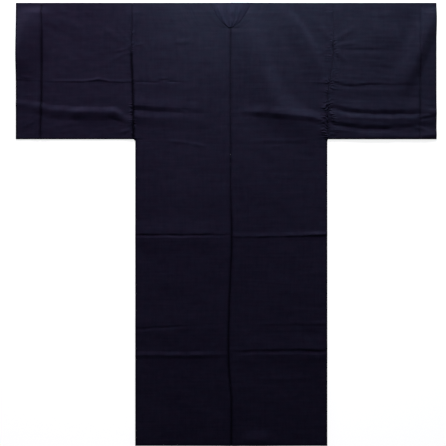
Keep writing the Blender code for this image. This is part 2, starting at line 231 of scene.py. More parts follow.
def pressed(form, above, below, line, swell, flat=0.0):
    """One crease of the tables, its sizes given in millimetres."""
    above, below, flat = (size / MM_PER_METRE for size in (above, below, flat))
    line, swell = (np.array(table) / MM_PER_METRE for table in (line, swell))
    return Crease(form, above, below, line, swell, flat)


LEFT_BODY_CREASES = (
    pressed("valley", 5, 6, ((-287, 250.5), (-215, 252), (-203, 244), (-192, 243), (-182, 249),
            (-145, 251.5)), ((-300, 0.6), (-200, 1.1), (-175, 1.2), (-120, 0))),
    pressed("valley", 17, 24, ((-287, 340), (-200, 345), (-70, 351)), ((-300, 5), (-200, 4.2),
            (-120, 1.8), (-40, 0))),
    pressed("valley", 6, 8, ((-287, 734.5), (-150, 735), (15, 734.5)), ((-300, 2.4), (-60, 1.7),
            (10, 0.4))),
    pressed("valley", 6, 9, ((-287, 1031), (-190, 1024.5), (10, 1015)), ((-300, 1), (-150, 0.6),
            (10, 0.2))),
    pressed("ridge", 13, 13, ((-287, 1112.5), (-120, 1113), (6, 1110.5)), ((-300, 1.6), (-80, 2.7),
            (6, 0.8))),
)
RIGHT_BODY_CREASES = (
    pressed("ridge", 10, 5, ((235, 252), (325, 251.4)), ((230, 0), (290, 0.7), (320, 1.2))),
    pressed("ridge", 26, 19, ((69, 343.5), (202, 354.5), (271, 362.5), (303, 369), (322, 374.5)),
            ((40, 0), (100, 4.8), (200, 5.4), (300, 4.4), (325, 2))),
    pressed("ridge", 13, 7, ((18, 737.5), (150, 736), (320, 732)), ((18, 0.6), (100, 1.9),
            (300, 3))),
    pressed("ridge", 12, 7, ((18, 1014), (320, 1014)), ((100, 0), (160, 0.7), (320, 0.7))),
    pressed("valley", 8, 12, ((10, 1103.5), (200, 1100), (320, 1101)), ((15, 0.3), (80, 1.8),
            (300, 2.6))),
)
LEFT_SLEEVE_CREASES = (
    pressed("ridge", 9, 5, ((-660, 240), (-600, 246), (-540, 249), (-440, 247), (-405, 243),
            (-370, 248), (-300, 250)), ((-660, 0.6), (-590, 0.3), (-500, 1), (-405, 1.7),
            (-300, 0.8))),
    pressed("ridge", 18, 26, ((-652, 322.5), (-589, 334.1), (-557, 342.6), (-446, 348),
            (-374, 349.5), (-352, 350), (-336, 357.3), (-317, 370.9), (-304, 375.7)), ((-664, 1.8),
            (-580, 3), (-450, 5), (-330, 5), (-300, 3)), 4),
)
RIGHT_SLEEVE_CREASES = (
    pressed("valley", 8, 16, ((385, 149.5), (420, 148), (520, 148.5)), ((365, 0), (400, 1.2),
            (470, 1.1), (530, 0))),
    pressed("valley", 8, 18, ((350, 256.7), (376, 264.6), (417, 263), (455, 259.9), (581, 263)),
            ((335, 1), (376, 2.2), (450, 2), (560, 1.2), (620, 0))),
    pressed("valley", 16, 16, ((350, 335), (376, 345), (455, 351.8), (613, 351.5), (660, 353.5)),
            ((330, 2.4), (376, 4.6), (600, 3.8), (660, 1.8))),
    pressed("valley", 14, 14, ((322, 376.5), (350, 386.5), (376, 393), (439, 399), (502, 399),
            (588, 393), (660, 386)), ((325, 2.4), (376, 4.2), (520, 3.6), (600, 1.2), (660, 0.4))),
)
print("creases:", sum(len(table) for table in (LEFT_BODY_CREASES, RIGHT_BODY_CREASES,
                                               LEFT_SLEEVE_CREASES, RIGHT_SLEEVE_CREASES)))


# %% The shape of one crease
WAVE_SPREAD = (0.6, 1.7)
CREASE_WANDER = 0.0009
WANDER_LENGTH = 0.060
SWELL_UNEVEN = 0.28
SWELL_LIMITS = (0.4, 1.6)
BROAD_SWELL = 0.060
POINTED = 1.5
RIDGE_POINTED = 0.35
VALLEY_POINTED = 0.5


def waves(x, depth, length, seed, count=7):
    """A smooth uneven surface between about -1 and 1, its waves about a given length."""
    chance = np.random.default_rng(seed)
    total = np.zeros_like(x + depth)
    for _ in range(count):
        direction = chance.uniform(0.0, 2.0 * math.pi)
        wavelength = length * chance.uniform(*WAVE_SPREAD)
        phase = chance.uniform(0.0, 2.0 * math.pi)
        distance = x * math.cos(direction) + depth * math.sin(direction)
        total += np.sin(2.0 * math.pi * distance / wavelength + phase)
    return total / math.sqrt(count)


def crease_height(crease, x, depth, seed):
    """How far one crease lifts the cloth."""
    away = depth - along(crease.line, x) - CREASE_WANDER * waves(x, 0.0, WANDER_LENGTH, seed)
    upper_flank = np.clip(-away - crease.flat, 0.0, None) / crease.above
    flank = np.where(away < 0.0, upper_flank, away / crease.below)
    uneven = 1.0 + SWELL_UNEVEN * waves(x, 0.0, WANDER_LENGTH, seed + 100)
    swell = along(crease.swell, x) * np.clip(uneven, *SWELL_LIMITS)
    near_line = np.clip(1.0 - flank, 0.0, 1.0)
    if crease.form == "ridge":
        return swell * mix(ease(near_line), near_line ** POINTED, RIDGE_POINTED)
    notch = mix(ease(near_line), near_line ** POINTED, VALLEY_POINTED)
    return swell * (1.0 - ease(np.abs(away) / BROAD_SWELL) - notch)


def crease_relief(creases, x, depth, seed):
    return sum(crease_height(crease, x, depth, seed + place)
               for place, crease in enumerate(creases))


# %% [markdown]
# ## Soft folds and small wrinkles
# Beside the ruled creases the cloth isn't smoothed quite flat. Broad soft folds cross the
# shoulders and cuffs on a slant, and short wrinkles start at the armholes. Each has a line, the
# widths of its two flanks and a height, which is below zero for a trough. Its ends fade out.

# %% Fold tables
# line: x and depth along it. left and right: widths of the flanks on those sides of a line
# drawn downward. A level line drawn to the right has its left flank toward the hem.
Fold = namedtuple("Fold", "line left right height")


def broad(line, left, right, height):
    """One fold, its sizes given in millimetres."""
    left, right, height = (size / MM_PER_METRE for size in (left, right, height))
    return Fold(np.array(line) / MM_PER_METRE, left, right, height)


def wrinkles(*rows):
    """Short straight folds. A row: x and depth of both ends, flank width and height."""
    return [broad(((x, depth), (end_x, end_depth)), width, width, height)
            for x, depth, end_x, end_depth, width, height in rows]


LEFT_SLEEVE_FOLDS = (
    broad(((-600, -12), (-618, 50), (-642, 120), (-700, 240)), 46, 80, 10.5),
    broad(((-545, 0), (-500, 45), (-440, 85)), 30, 30, 2.4),
    *wrinkles((-580, 60, -520, 105, 16, -1), (-560, 15, -440, 70, 20, -1),
              (-540, 55, -430, 120, 22, 0.9), (-400, 70, -303, 140, 14, 1.2),
              (-345, 75, -303, 130, 6, 1), (-303, 143, -350, 155, 6, 0.9),
              (-305, 152, -372, 190, 9, 0.8), (-395, 238, -415, 243, 6, 0.9),
              (-655, 232, -605, 240, 5, 0.7), (-380, 360, -300, 388, 7, -1),
              (-600, 372, -645, 395, 8, 0.6), (-470, 380, -560, 390, 10, 0.5),
              (-300, 398, -340, 415, 8, 1.2)),
)
RIGHT_SLEEVE_FOLDS = (
    broad(((678, -10), (655, 50), (619, 133), (586, 215), (555, 300)), 48, 28, 11.5),
    broad(((330, 430), (500, 425), (700, 428)), 20, 18, 3),
    broad(((600, 353), (730, 350)), 13, 16, 3.4),
    broad(((600, 420), (730, 414)), 14, 17, 3.4),
    broad(((430, 90), (500, 100), (560, 120)), 40, 45, 2.4),
    *wrinkles((410, 75, 345, 120, 12, 1.2), (420, 125, 345, 135, 9, 1),
              (343, 150, 385, 190, 9, 1), (340, 170, 360, 225, 7, 0.8),
              (420, 250, 445, 262, 6, 1), (585, 388, 650, 410, 8, 1.2),
              (664, 358, 600, 372, 6, -1), (360, 395, 480, 405, 10, 0.6),
              (540, 35, 430, 60, 30, 0.8)),
)
LEFT_BODY_FOLDS = wrinkles(
    (-108, 121, -170, 127, 10, 1.1), (-210, 236, -190, 246, 6, 1.2),
    (-175, 240, -192, 247, 5, -0.8), (-140, 333, -118, 343, 6, -1),
    (-190, 436, -110, 444, 7, 0.8), (-120, 443, -55, 456, 7, 0.8),
    (-82, 255, -110, 330, 14, -0.9), (-66, 860, -36, 869, 6, 0.7),
    (-45, 858, -75, 870, 7, -0.5), (-290, 100, -255, 150, 9, 0.9),
    (-262, 130, -292, 135, 6, 0.8), (-230, 120, -130, 135, 30, 0.7),
    (-180, 560, -20, 620, 50, 0.9), (-120, 860, -260, 900, 45, 0.7))
RIGHT_BODY_FOLDS = (
    broad(((66, 0), (80, 80), (108, 210), (152, 315), (225, 372), (330, 425)), 64, 46, 10.5),
    broad(((170, 0), (232, 80), (272, 143), (292, 200), (300, 270)), 52, 19, 5),
    *wrinkles((290, 60, 333, 128, 12, 1.2), (330, 140, 285, 170, 8, 0.9),
              (260, 436, 80, 437, 8, 0.6), (175, 452, 145, 455, 6, 0.5),
              (285, 1103, 297, 1190, 8, 1), (280, 1187, 105, 1188, 8, 0.7),
              (150, 1378, 45, 1385, 30, 4.2), (290, 560, 312, 680, 16, 1),
              (60, 560, 220, 640, 45, 0.8), (120, 880, 280, 930, 40, 0.7)),
)
print("folds:", sum(len(table) for table in (LEFT_BODY_FOLDS, RIGHT_BODY_FOLDS,
                                             LEFT_SLEEVE_FOLDS, RIGHT_SLEEVE_FOLDS)))

# %% The shape of one fold
FOLD_END = 0.1
FADE_SHARE = 1.0 / 3.0
FLANK_REACH = 1.25


def fold_height(fold, x, depth):
    """How far one soft fold lifts the cloth, from the distance to its line."""
    runs = np.diff(fold.line, axis=0)
    lengths = np.hypot(runs[:, 0], runs[:, 1])
    before = np.concatenate([[0.0], np.cumsum(lengths)])
    nearest = np.full_like(x + depth, np.inf)
    width = np.full_like(nearest, fold.left)
    place = np.zeros_like(nearest)
    for start, run, length, travelled in zip(fold.line, runs, lengths, before):
        to_x, to_depth = x - start[0], depth - start[1]
        share = np.clip((to_x * run[0] + to_depth * run[1]) / length ** 2, 0.0, 1.0)
        away = np.hypot(to_x - run[0] * share, to_depth - run[1] * share)
        on_left = run[0] * to_depth - run[1] * to_x > 0.0
        closer = away < nearest
        nearest = np.where(closer, away, nearest)
        width = np.where(closer, np.where(on_left, fold.left, fold.right), width)
        place = np.where(closer, (travelled + share * length) / before[-1], place)
    fade = mix(FOLD_END, 1.0, ease(place / FADE_SHARE) * ease((1.0 - place) / FADE_SHARE))
    return fold.height * fade * (1.0 - ease(nearest / (FLANK_REACH * width)))


def folds_relief(folds, x, depth):
    return sum(fold_height(fold, x, depth) for fold in folds)


# %% [markdown]
# ## Seams
# A sewn seam is a groove: the cloth rises on each side and turns down into it. Hand sewing also
# gathers the cloth a little, which shows as a row of short puckers across the seam, strongest at
# the armholes. Where the seam allowance lies under the cloth, its edge shows as a faint step.
# The shade that falls in a groove and along a turned edge is painted into the cloth's colour. It
# is kept as a painted shade at each point of a piece: 0 on open cloth and 1 or a little more in
# a deep groove.

# %% Seam swell, puckers, painted shade and allowance steps
SEAM_SWELL = 0.0014
SWELL_NEAR = 0.0045
SWELL_FAR = 0.045
PUCKER_PITCH = 0.0085
SHADE_REACH = 0.0050
FRONT_SEAM_SHIFT = -0.0025
ALLOWANCE = 0.019
ALLOWANCE_STEP = 0.0005
STEP_RUN = 0.0025

# Depth and height of the puckers down each armhole, and down a quiet seam
LEFT_PUCKERS = ((0.080, 0.0001), (0.095, 0.0009), (0.150, 0.0010), (0.166, 0.0002),
                (0.235, 0.0002), (0.250, 0.0005), (0.300, 0.0002), (0.325, 0.0009),
                (0.380, 0.0010), (0.430, 0.0008))
RIGHT_PUCKERS = ((0.040, 0.0001), (0.110, 0.0002), (0.130, 0.0006), (0.165, 0.0004),
                 (0.200, 0.0001), (0.235, 0.0006), (0.260, 0.0006), (0.300, 0.0004),
                 (0.335, 0.0013), (0.435, 0.0014))
FAINT_PUCKERS = ((0.0, 0.00008), (0.5, 0.00012), (1.4, 0.00010))
# Depth and painted shade down each long seam
LEFT_ARM_SHADE = ((0.000, 0.10), (0.150, 0.15), (0.162, 1.00), (0.400, 1.00), (0.435, 1.30))
RIGHT_ARM_SHADE = ((0.000, 0.05), (0.110, 0.05), (0.130, 0.40), (0.170, 0.15), (0.220, 0.05),
                   (0.250, 0.25), (0.435, 0.25))
CENTRE_SHADE = ((0.080, 0.40), (0.560, 0.45), (0.700, 0.75), (1.400, 0.75))
LEFT_STRIP_SHADE = ((0.000, 0.35), (0.080, 0.45), (0.120, 0.85), (0.340, 0.80), (0.435, 0.45))
RIGHT_STRIP_SHADE = ((0.000, 0.0), (0.150, 0.0), (0.180, 0.40), (0.345, 0.45), (0.360, 0.15),
                     (0.435, 0.15))
# How dark the painted shade along a turned edge is
PAINTED_EDGE_SHADE = 0.80
PUCKER_START = 0.0015
PUCKER_SIZE = 0.030
PUCKER_UNEVEN = 0.8
PUCKER_DRIFT = (0.60, 0.45)
PUCKER_DRIFT_LENGTH = 0.050


def seam_swell(distance, height=SEAM_SWELL):
    rise = ease(distance / SWELL_NEAR)
    fall = 1.0 - ease((distance - SWELL_NEAR) / (SWELL_FAR - SWELL_NEAR))
    return height * np.minimum(rise, fall)


# Painted shade beside a seam: darkest on its line, fading over a few millimetres
def painted_seam_shade(distance, strength):
    return strength * np.exp(-(distance / SHADE_REACH) ** 2)


def puckers(distance, depth, heights, spread, seed):
    """Short uneven ripples that cross a seam and die away from it."""
    drift = (PUCKER_DRIFT[0] * waves(0.0, depth, PUCKER_DRIFT_LENGTH, seed)
             + PUCKER_DRIFT[1] * waves(distance, depth, PUCKER_SIZE, seed + 1))
    ripple = np.sin(2.0 * math.pi * (depth / PUCKER_PITCH + drift))
    uneven = 1.0 + PUCKER_UNEVEN * waves(distance, depth, PUCKER_SIZE, seed + 2)
    strength = along(heights, depth) * uneven
    reach = ease(distance / PUCKER_START) * np.exp(-(distance / spread) ** 3)
    return np.clip(strength, 0.0, None) * (1.0 + ripple) * reach


def painted_edge_shade(distance):
    """Painted shade along a turned edge, where the cloth rolls under."""
    return painted_seam_shade(distance, PAINTED_EDGE_SHADE)


def allowance_step(distance):
    """The cloth lies a little higher over the allowance beside a seam or a side edge."""
    return ALLOWANCE_STEP * (1.0 - ease((distance - ALLOWANCE) / STEP_RUN))


# %% What differs from side to side
# outward: the way from the middle to the cuff. edge: x of the side edge below the sleeve.
# pucker_spread: how far an armhole's puckers reach.
Relief = namedtuple("Relief", "creases folds pucker_spread seed")
Side = namedtuple("Side", "name outward edge armhole strip_seam arm_swell puckers arm_shade "
                          "strip_shade body sleeve")
LEFT = Side("left", -1.0, SIDE_LEFT, ARMHOLE_LEFT, STRIP_SEAM_LEFT, 0.0014, LEFT_PUCKERS,
            LEFT_ARM_SHADE, LEFT_STRIP_SHADE,
            Relief(LEFT_BODY_CREASES, LEFT_BODY_FOLDS, 0.007, 10),
            Relief(LEFT_SLEEVE_CREASES, LEFT_SLEEVE_FOLDS, 0.010, 70))
RIGHT = Side("right", 1.0, SIDE_RIGHT, ARMHOLE_RIGHT, STRIP_SEAM_RIGHT, 0.0006, RIGHT_PUCKERS,
             RIGHT_ARM_SHADE, RIGHT_STRIP_SHADE,
             Relief(RIGHT_BODY_CREASES, RIGHT_BODY_FOLDS, 0.022, 40),
             Relief(RIGHT_SLEEVE_CREASES, RIGHT_SLEEVE_FOLDS, 0.024, 90))
FAINT_SPREAD = 0.008


def inner_outer(side, x, ends):
    """Distances from a piece's edge nearer the middle and from its other edge."""
    left, right = ends
    return (right - x, x - left) if side is LEFT else (x - left, right - x)


print("sides:", LEFT.name, LEFT.edge, "and", RIGHT.name, RIGHT.edge)

# %% [markdown]
# ## A sheet of cloth
# A piece is a grid of points on the middle of its cloth. Each point has the way out of the cloth
# there and half its thickness, which thins to almost nothing at the rims, so that an edge is
# round and not a knife cut. The outer and inner faces and the rim close into one mesh. The grid
# also gives the piece its own map, in metres of cloth, which the weave follows.

# %% Grid helpers
RIM_STEPS = ((0.0, 0.25), (0.00012, 0.62), (0.00032, 0.90), (0.00060, 1.0))
NEAR_RIM = (0.0013, 0.0024, 0.0038, 0.0056, 0.0078, 0.0104, 0.0136, 0.0176, 0.0226)
WIDEST_RIM = 0.4


def rim_share(distance):
    """The share of the full thickness at a distance from a rim."""
    return along(RIM_STEPS, distance)


def places(start, end, spacing):
    """Places from start to end: close together at both rims, even between."""
    near = [distance for distance, _ in RIM_STEPS] + list(NEAR_RIM)
    near = [distance for distance in near if distance < WIDEST_RIM * (end - start)]
    inside_start = start + near[-1]
    inside_end = end - near[-1]
    count = max(2, round((inside_end - inside_start) / spacing))
    inside = np.linspace(inside_start, inside_end, count + 1)[1:-1]
    return np.array([start + n for n in near] + list(inside) + [end - n for n in near[::-1]])


def depths(stretches, extra=()):
    """Depths of rows from a table of (from, to, spacing), with some extra ones put in."""
    rows = [np.arange(start, end, spacing) for start, end, spacing in stretches]
    return np.unique(np.round(np.concatenate([*rows, np.array(extra, float)]), 6))


def map_lengths(points):
    """Running length along the grid's columns, taken from its middle column."""
    middle = points[:, points.shape[1] // 2]
    steps = np.linalg.norm(np.diff(middle, axis=0), axis=1)
    return np.concatenate([[0.0], np.cumsum(steps)])


# %% Closing a grid into a mesh
def put_in_scene(name, data):
    """A new object for its data, at the origin."""
    made = bpy.data.objects.new(name, data)
    bpy.context.scene.collection.objects.link(made)
    return made


def cloth_mesh(name, points, outward, half, shade, across, missing=None):
    """A closed mesh from the cloth's middle points, its way out, half thickness and painted seam
    shade.

    across holds each column's place in the cloth's map; missing marks the cells to leave out.
    """
    rows, columns = half.shape
    present = np.ones((rows - 1, columns - 1), bool)
    if missing is not None:
        present &= ~missing
    outer = points + outward * half[..., None]
    inner = points - outward * half[..., None]
    vertices = np.concatenate([outer.reshape(-1, 3), inner.reshape(-1, 3)])
    number = np.arange(rows * columns).reshape(rows, columns)
    below = rows * columns

    corners = np.stack([number[:-1, :-1], number[:-1, 1:], number[1:, 1:], number[1:, :-1]], -1)
    quads = corners[present]
    faces = [quads, quads[:, ::-1] + below]

    padded_cells = np.zeros((rows + 1, columns + 1), bool)
    padded_cells[1:-1, 1:-1] = present
    sides = ((slice(0, -2), slice(1, -1), 0, 1), (slice(1, -1), slice(2, None), 1, 2),
             (slice(2, None), slice(1, -1), 2, 3), (slice(1, -1), slice(0, -2), 3, 0))
    for row_shift, column_shift, first, second in sides:
        open_side = present & ~padded_cells[row_shift, column_shift]
        start = corners[open_side][:, first]
        end = corners[open_side][:, second]
        faces.append(np.stack([end, start, start + below, end + below], -1))
    faces = np.concatenate(faces)

    used, faces = np.unique(faces, return_inverse=True)
    faces = faces.reshape(-1, 4)
    vertices = vertices[used]
    run = map_lengths(points)
    cloth_map = np.stack([np.broadcast_to(across, half.shape),
                          np.broadcast_to(run[:, None], half.shape)], -1).reshape(-1, 2)
    cloth_map = np.concatenate([cloth_map, cloth_map])[used]

    mesh = bpy.data.meshes.new(name)
    mesh.vertices.add(len(vertices))
    mesh.vertices.foreach_set("co", vertices.astype(np.float32).ravel())
    mesh.loops.add(faces.size)
    mesh.loops.foreach_set("vertex_index", faces.astype(np.int32).ravel())
    mesh.polygons.add(len(faces))
    mesh.polygons.foreach_set("loop_start", np.arange(0, faces.size, 4, dtype=np.int32))
    mesh.polygons.foreach_set("loop_total", np.full(len(faces), 4, np.int32))
    mesh.update(calc_edges=True)
    layer = mesh.uv_layers.new(name="cloth")
    layer.uv.foreach_set("vector", cloth_map[faces.ravel()].astype(np.float32).ravel())
    # The painted shade goes to the material as the point attribute named seam
    painted_shade_layer = mesh.attributes.new("seam", "FLOAT", "POINT")
    both_faces = np.concatenate([shade.ravel()] * 2)[used]
    painted_shade_layer.data.foreach_set("value", both_faces.astype(np.float32))
    mesh.shade_smooth()
    mesh.validate()
    print(name, 2 * len(faces), "triangles")
    return put_in_scene(name, mesh)


# %% [markdown]
# ## A folded piece
# Bodies and sleeves are one length of cloth each, folded over the shoulder line. The grid starts
# at the back hem, runs up to the fold, turns over it and comes down the front. All three parts
# take their heights from the rules above.

# %% Rows of a piece
FOLD_TURN = 10


def column_rims(x):
    """Rim shares across one row, from the distance to its two ends."""
    return rim_share(np.minimum(x - x[0], x[-1] - x))


class Rows:
    """A piece's rows: middle points, ways out of the cloth, half thicknesses and painted shades."""

    def __init__(self, wall):
        self.wall = wall
        self.points, self.outward, self.half, self.shade = [], [], [], []

    def add(self, x, y, z, way_out, rims, shade):
        """One row. rims: its shares of the full thickness."""
        self.points.append(np.stack([x, y, z], -1))
        self.outward.append(np.tile(way_out, (len(x), 1)))
        self.half.append(self.wall / 2 * rims)
        self.shade.append(shade + 0.0 * x)

    def flat(self, x, depth, underside, facing, rims, shade=0.0):
        """A row of level cloth. facing: 1 where its outer face is up, -1 where it is down."""
        y = np.full_like(x, SHOULDER_Y - depth)
        self.add(x, y, underside + self.wall / 2, (0.0, 0.0, facing), rims, shade)

    def under(self, x, depth, floor, rims):
        """A row of an under layer, on its floor."""
        self.flat(x, depth, floor(x, np.full_like(x, depth)), -1.0, rims)

    def turn(self, x, bottom, top, rims, last_rims=None):
        """Rows that turn over the shoulder line, between two undersides."""
        radius = (top - bottom) / 2
        for step in range(FOLD_TURN + 1):
            angle = math.pi * (0.5 - step / FOLD_TURN)
            y = SHOULDER_Y - radius - self.wall / 2 + radius * math.cos(angle)
            z = (top + bottom) / 2 + self.wall / 2 + radius * math.sin(angle)
            if step == FOLD_TURN and last_rims is not None:
                rims = last_rims
            self.add(x, y, z, (0.0, math.cos(angle), math.sin(angle)), rims, 0.0)

    def grid(self):
        return [np.array(rows) for rows in (self.points, self.outward, self.half, self.shade)]


# %% Points of a folded piece
FOLD_UNEVEN = 0.0003
FOLD_UNEVEN_LENGTH = 0.09
NECK_RIM = 0.80
SETTLE = 0.030
DRAPE = 0.00030
DRAPE_LENGTH = 0.110
RUMPLE = 0.00009
RUMPLE_LENGTH = 0.030
RIPPLE = 0.00011
RIPPLE_LENGTH = 0.020
RIPPLE_STRETCH = 5.0


def drape(x, depth, seed):
    """The slight unevenness that any laid cloth has."""
    return (DRAPE * (1.0 + waves(x, depth, DRAPE_LENGTH, seed))
            + RUMPLE * (1.0 + waves(x, depth, RUMPLE_LENGTH, seed + 1))
            + RIPPLE * (1.0 + waves(x / RIPPLE_STRETCH, depth, RIPPLE_LENGTH, seed + 2)))


def laid(lift, relief, x, depth, drape_shift):
    """A lift with the piece's creases, folds and unevenness on it, nowhere below zero."""
    lift = lift + crease_relief(relief.creases, x, depth, relief.seed)
    lift = lift + folds_relief(relief.folds, x, depth)
    return np.clip(lift + drape(x, depth, relief.seed + drape_shift), 0.0, None)


def folded_grid(back_depths, front_depths, back_edges, front_edges, columns, heights, seed):
    """The grid of a piece folded over the shoulder line.

    columns lays the grid's columns between two edges; heights holds the lower layer's underside,
    the upper layer's underside, and the upper layer's relief and painted seam shade.
    """
    lower, upper, relief, painted_shading = heights

    def spread_rise(x):
        short = FOLD_SPREAD - (upper(x, 0.0 * x) - lower(x, 0.0 * x))
        uneven = FOLD_UNEVEN * (1.0 + waves(x, 0.0, FOLD_UNEVEN_LENGTH, seed + 5))
        return np.clip(short, 0.0, None) + uneven

    def raised(x, depth):
        return upper(x, depth) + spread_rise(x) * (1.0 - ease(depth / FOLD_EASE))

    rows = Rows(WALL)
    for depth in back_depths[::-1]:
        x = columns(*back_edges(depth))
        here = np.full_like(x, depth)
        settled = ease((depth - FOLD_START) / SETTLE)
        by_neck = (depth < NECK_DROP) & (np.abs(x - CENTRE) < 2 * NECK_HALF)
        rims = np.where(by_neck, np.maximum(column_rims(x), NECK_RIM), column_rims(x))
        rims = np.minimum(rims, rim_share(back_depths[-1] - depth))
        underside = raised(x, here) + relief(x, here) * settled
        rows.flat(x, depth, underside, 1.0, rims, painted_shading(x, here))

    x = columns(*back_edges(0.0))
    rows.turn(x, lower(x, 0.0 * x), raised(x, 0.0 * x), column_rims(x))

    for depth in front_depths:
        x = columns(*front_edges(depth))
        rims = np.minimum(column_rims(x), rim_share(front_depths[-1] - depth))
        rows.under(x, depth, lower, rims)
    return rows.grid()


def even_columns(width, spacing):
    """A function that lays one fixed number of columns between any two edges."""
    pattern = places(0.0, width, spacing)
    middle = len(pattern) // 2

    def columns(left, right):
        from_left = pattern
        from_right = width - pattern
        laid = np.where(np.arange(len(pattern)) < middle, left + from_left, right - from_right)
        inside = (from_left > NEAR_RIM[-1]) & (from_right > NEAR_RIM[-1])
        stretch = (right - left - 2 * NEAR_RIM[-1]) / (width - 2 * NEAR_RIM[-1])
        even = left + NEAR_RIM[-1] + (from_left - NEAR_RIM[-1]) * stretch
        return np.where(inside, even, laid)

    return columns


# %% Row depths
COARSE = 0.012
LAST_ROWS = np.array((0.0, 0.00012, 0.00032, 0.0006, 0.0014, 0.003))
BEFORE_RIM = 0.004
HEM_ROWS = LENGTH - LAST_ROWS
NECK_ROWS = tuple(NECK_DROP * share for share in
                  (0.1, 0.2, 0.3, 0.4, 0.48, 0.56, 0.63, 0.70, 0.76, 0.82, 0.87, 0.91, 0.945,
                   0.97, 0.987, 0.996, 1.0))
BACK_STRETCHES = ((FOLD_START, 0.240, 0.0022), (0.240, 0.270, 0.0016), (0.270, 0.325, 0.0022),
                  (0.325, 0.392, 0.0016), (0.392, 0.460, 0.0020), (0.460, 0.715, 0.0055),
                  (0.715, 0.752, 0.0014), (0.752, 1.000, 0.0055), (1.000, 1.040, 0.0022),
                  (1.040, 1.088, 0.005), (1.088, 1.132, 0.0014),
                  (1.132, LENGTH - BEFORE_RIM, 0.0055))
BACK_DEPTHS = depths(BACK_STRETCHES, (*NECK_ROWS, SLEEVE_DEPTH, SLEEVE_DEPTH + TAPER, *HEM_ROWS))
FRONT_DEPTHS = depths(((FOLD_START, LENGTH - BEFORE_RIM, COARSE),),
                      (OVERLAP_TIP, SLEEVE_DEPTH, SLEEVE_DEPTH + TAPER, *HEM_ROWS))
SLEEVE_HEM = SLEEVE_DEPTH - LAST_ROWS
SLEEVE_DEPTHS = depths(((FOLD_START, 0.230, 0.0022), (0.230, 0.275, 0.0016),
                        (0.275, 0.320, 0.0022), (0.320, 0.410, 0.0016),
                        (0.410, SLEEVE_DEPTH - BEFORE_RIM, 0.0022)), SLEEVE_HEM)
SLEEVE_FRONT_DEPTHS = depths(((FOLD_START, SLEEVE_DEPTH - BEFORE_RIM, COARSE),), SLEEVE_HEM)
print("rows down the back:", len(BACK_DEPTHS), "down a sleeve:", len(SLEEVE_DEPTHS))


# %% [markdown]
# ## The two bodies
# Each body is one length of cloth from back hem to front hem. Behind the neck it is cut in a
# deep rounded V, which a plain power curve draws. Beside the centre seam the cloth swells more
# low down, where the seam lies deeper in the photograph.

# %% Body pieces
NECK_POWER = 1.2
NECK_ROUND = 0.53
CENTRE_SWELL = ((0.0, 0.0010), (0.600, 0.0012), (0.700, 0.0024), (1.400, 0.0024))
BODY_COLUMN = 0.0068
BODY_DRAPE = 20
NECK_RISE = 0.0004
NECK_RISE_RUN = 0.020
NECK_RISE_END = 0.012
SWELL_START = 0.015


def neck_line(depth):
    """Half the width of the neck's cut in the back, at a depth."""
    share = np.clip(depth / NECK_DROP, 0.0, 1.0)
    return NECK_HALF * (1.0 - share ** NECK_POWER) ** NECK_ROUND


def body_piece(side):
    outward = side.outward
    seed = side.body.seed

    def outer_edge(depth):
        sewn = along(side.armhole, depth) - outward * SEAM_GAP / 2
        return mix(sewn, side.edge, np.clip((depth - SLEEVE_DEPTH) / TAPER, 0.0, 1.0))

    def back_edges(depth):
        if depth < NECK_DROP:
            inner = CENTRE + outward * (neck_line(depth) + NECK_LINE_GAP / 2)
        else:
            inner = along(CENTRE_SEAM, depth) + outward * SEAM_GAP / 2
        return tuple(sorted((float(outer_edge(depth)), float(inner))))

    def front_edges(depth):
        seam = collar_seam(depth) if depth < OVERLAP_TIP else overlap_seam(depth)
        inner = CENTRE - outward * (seam - SEAM_GAP / 2)
        shift = FRONT_SEAM_SHIFT if depth < SLEEVE_DEPTH else 0.0
        return tuple(sorted((float(outer_edge(depth)) + outward * shift, float(inner))))

    def relief(x, depth):
        from_inner, from_outer = inner_outer(side, x, back_edges(depth[0]))
        lift = seam_swell(from_inner, along(CENTRE_SWELL, depth))
        lift *= ease((depth - NECK_DROP) / SWELL_START)
        lift += (NECK_RISE * (1.0 - ease(from_inner / NECK_RISE_RUN))
                 * (1.0 - ease((depth - NECK_DROP) / NECK_RISE_END)))
        lift += allowance_step(from_inner) + allowance_step(from_outer)
        lift += puckers(from_inner, depth, FAINT_PUCKERS, FAINT_SPREAD, seed + 1)
        if depth[0] < SLEEVE_DEPTH:
            lift += seam_swell(from_outer, side.arm_swell)
            lift += puckers(from_outer, depth, side.puckers, side.body.pucker_spread, seed + 3)
        return laid(lift, side.body, x, depth, BODY_DRAPE)

    # Painted shade: darker colour down the centre seam, the armhole, the side edge and the hem
    def painted_shading(x, depth):
        from_inner, from_outer = inner_outer(side, x, back_edges(depth[0]))
        shade = painted_seam_shade(from_inner, along(CENTRE_SHADE, depth)) * (depth > NECK_DROP)
        if depth[0] < SLEEVE_DEPTH:
            outer = painted_seam_shade(from_outer, along(side.arm_shade, depth))
        else:
            outer = painted_edge_shade(from_outer)
        return np.maximum(np.maximum(shade, outer), painted_edge_shade(LENGTH - depth))

    left, right = back_edges(LENGTH / 2)
    columns = even_columns(right - left, BODY_COLUMN)
    grid = folded_grid(BACK_DEPTHS, FRONT_DEPTHS, back_edges, front_edges, columns,
                       (FLOORS[side.name], back_floor, relief, painted_shading), seed)
    return cloth_mesh(side.name + "_body", *grid, grid[0][len(BACK_DEPTHS) // 2, :, 0])


left_body = body_piece(LEFT)
right_body = body_piece(RIGHT)

# %% [markdown]
# ## Sleeves and their joined ends
# A sleeve is a second length folded over the shoulder line. Narrow cloth doesn't reach the
# wrist of a long arm, so a strip is joined on at the end. The creases run on across both.

# %% Sleeve pieces
SLEEVE_COLUMN = 0.0060
SLEEVE_DRAPE = 7


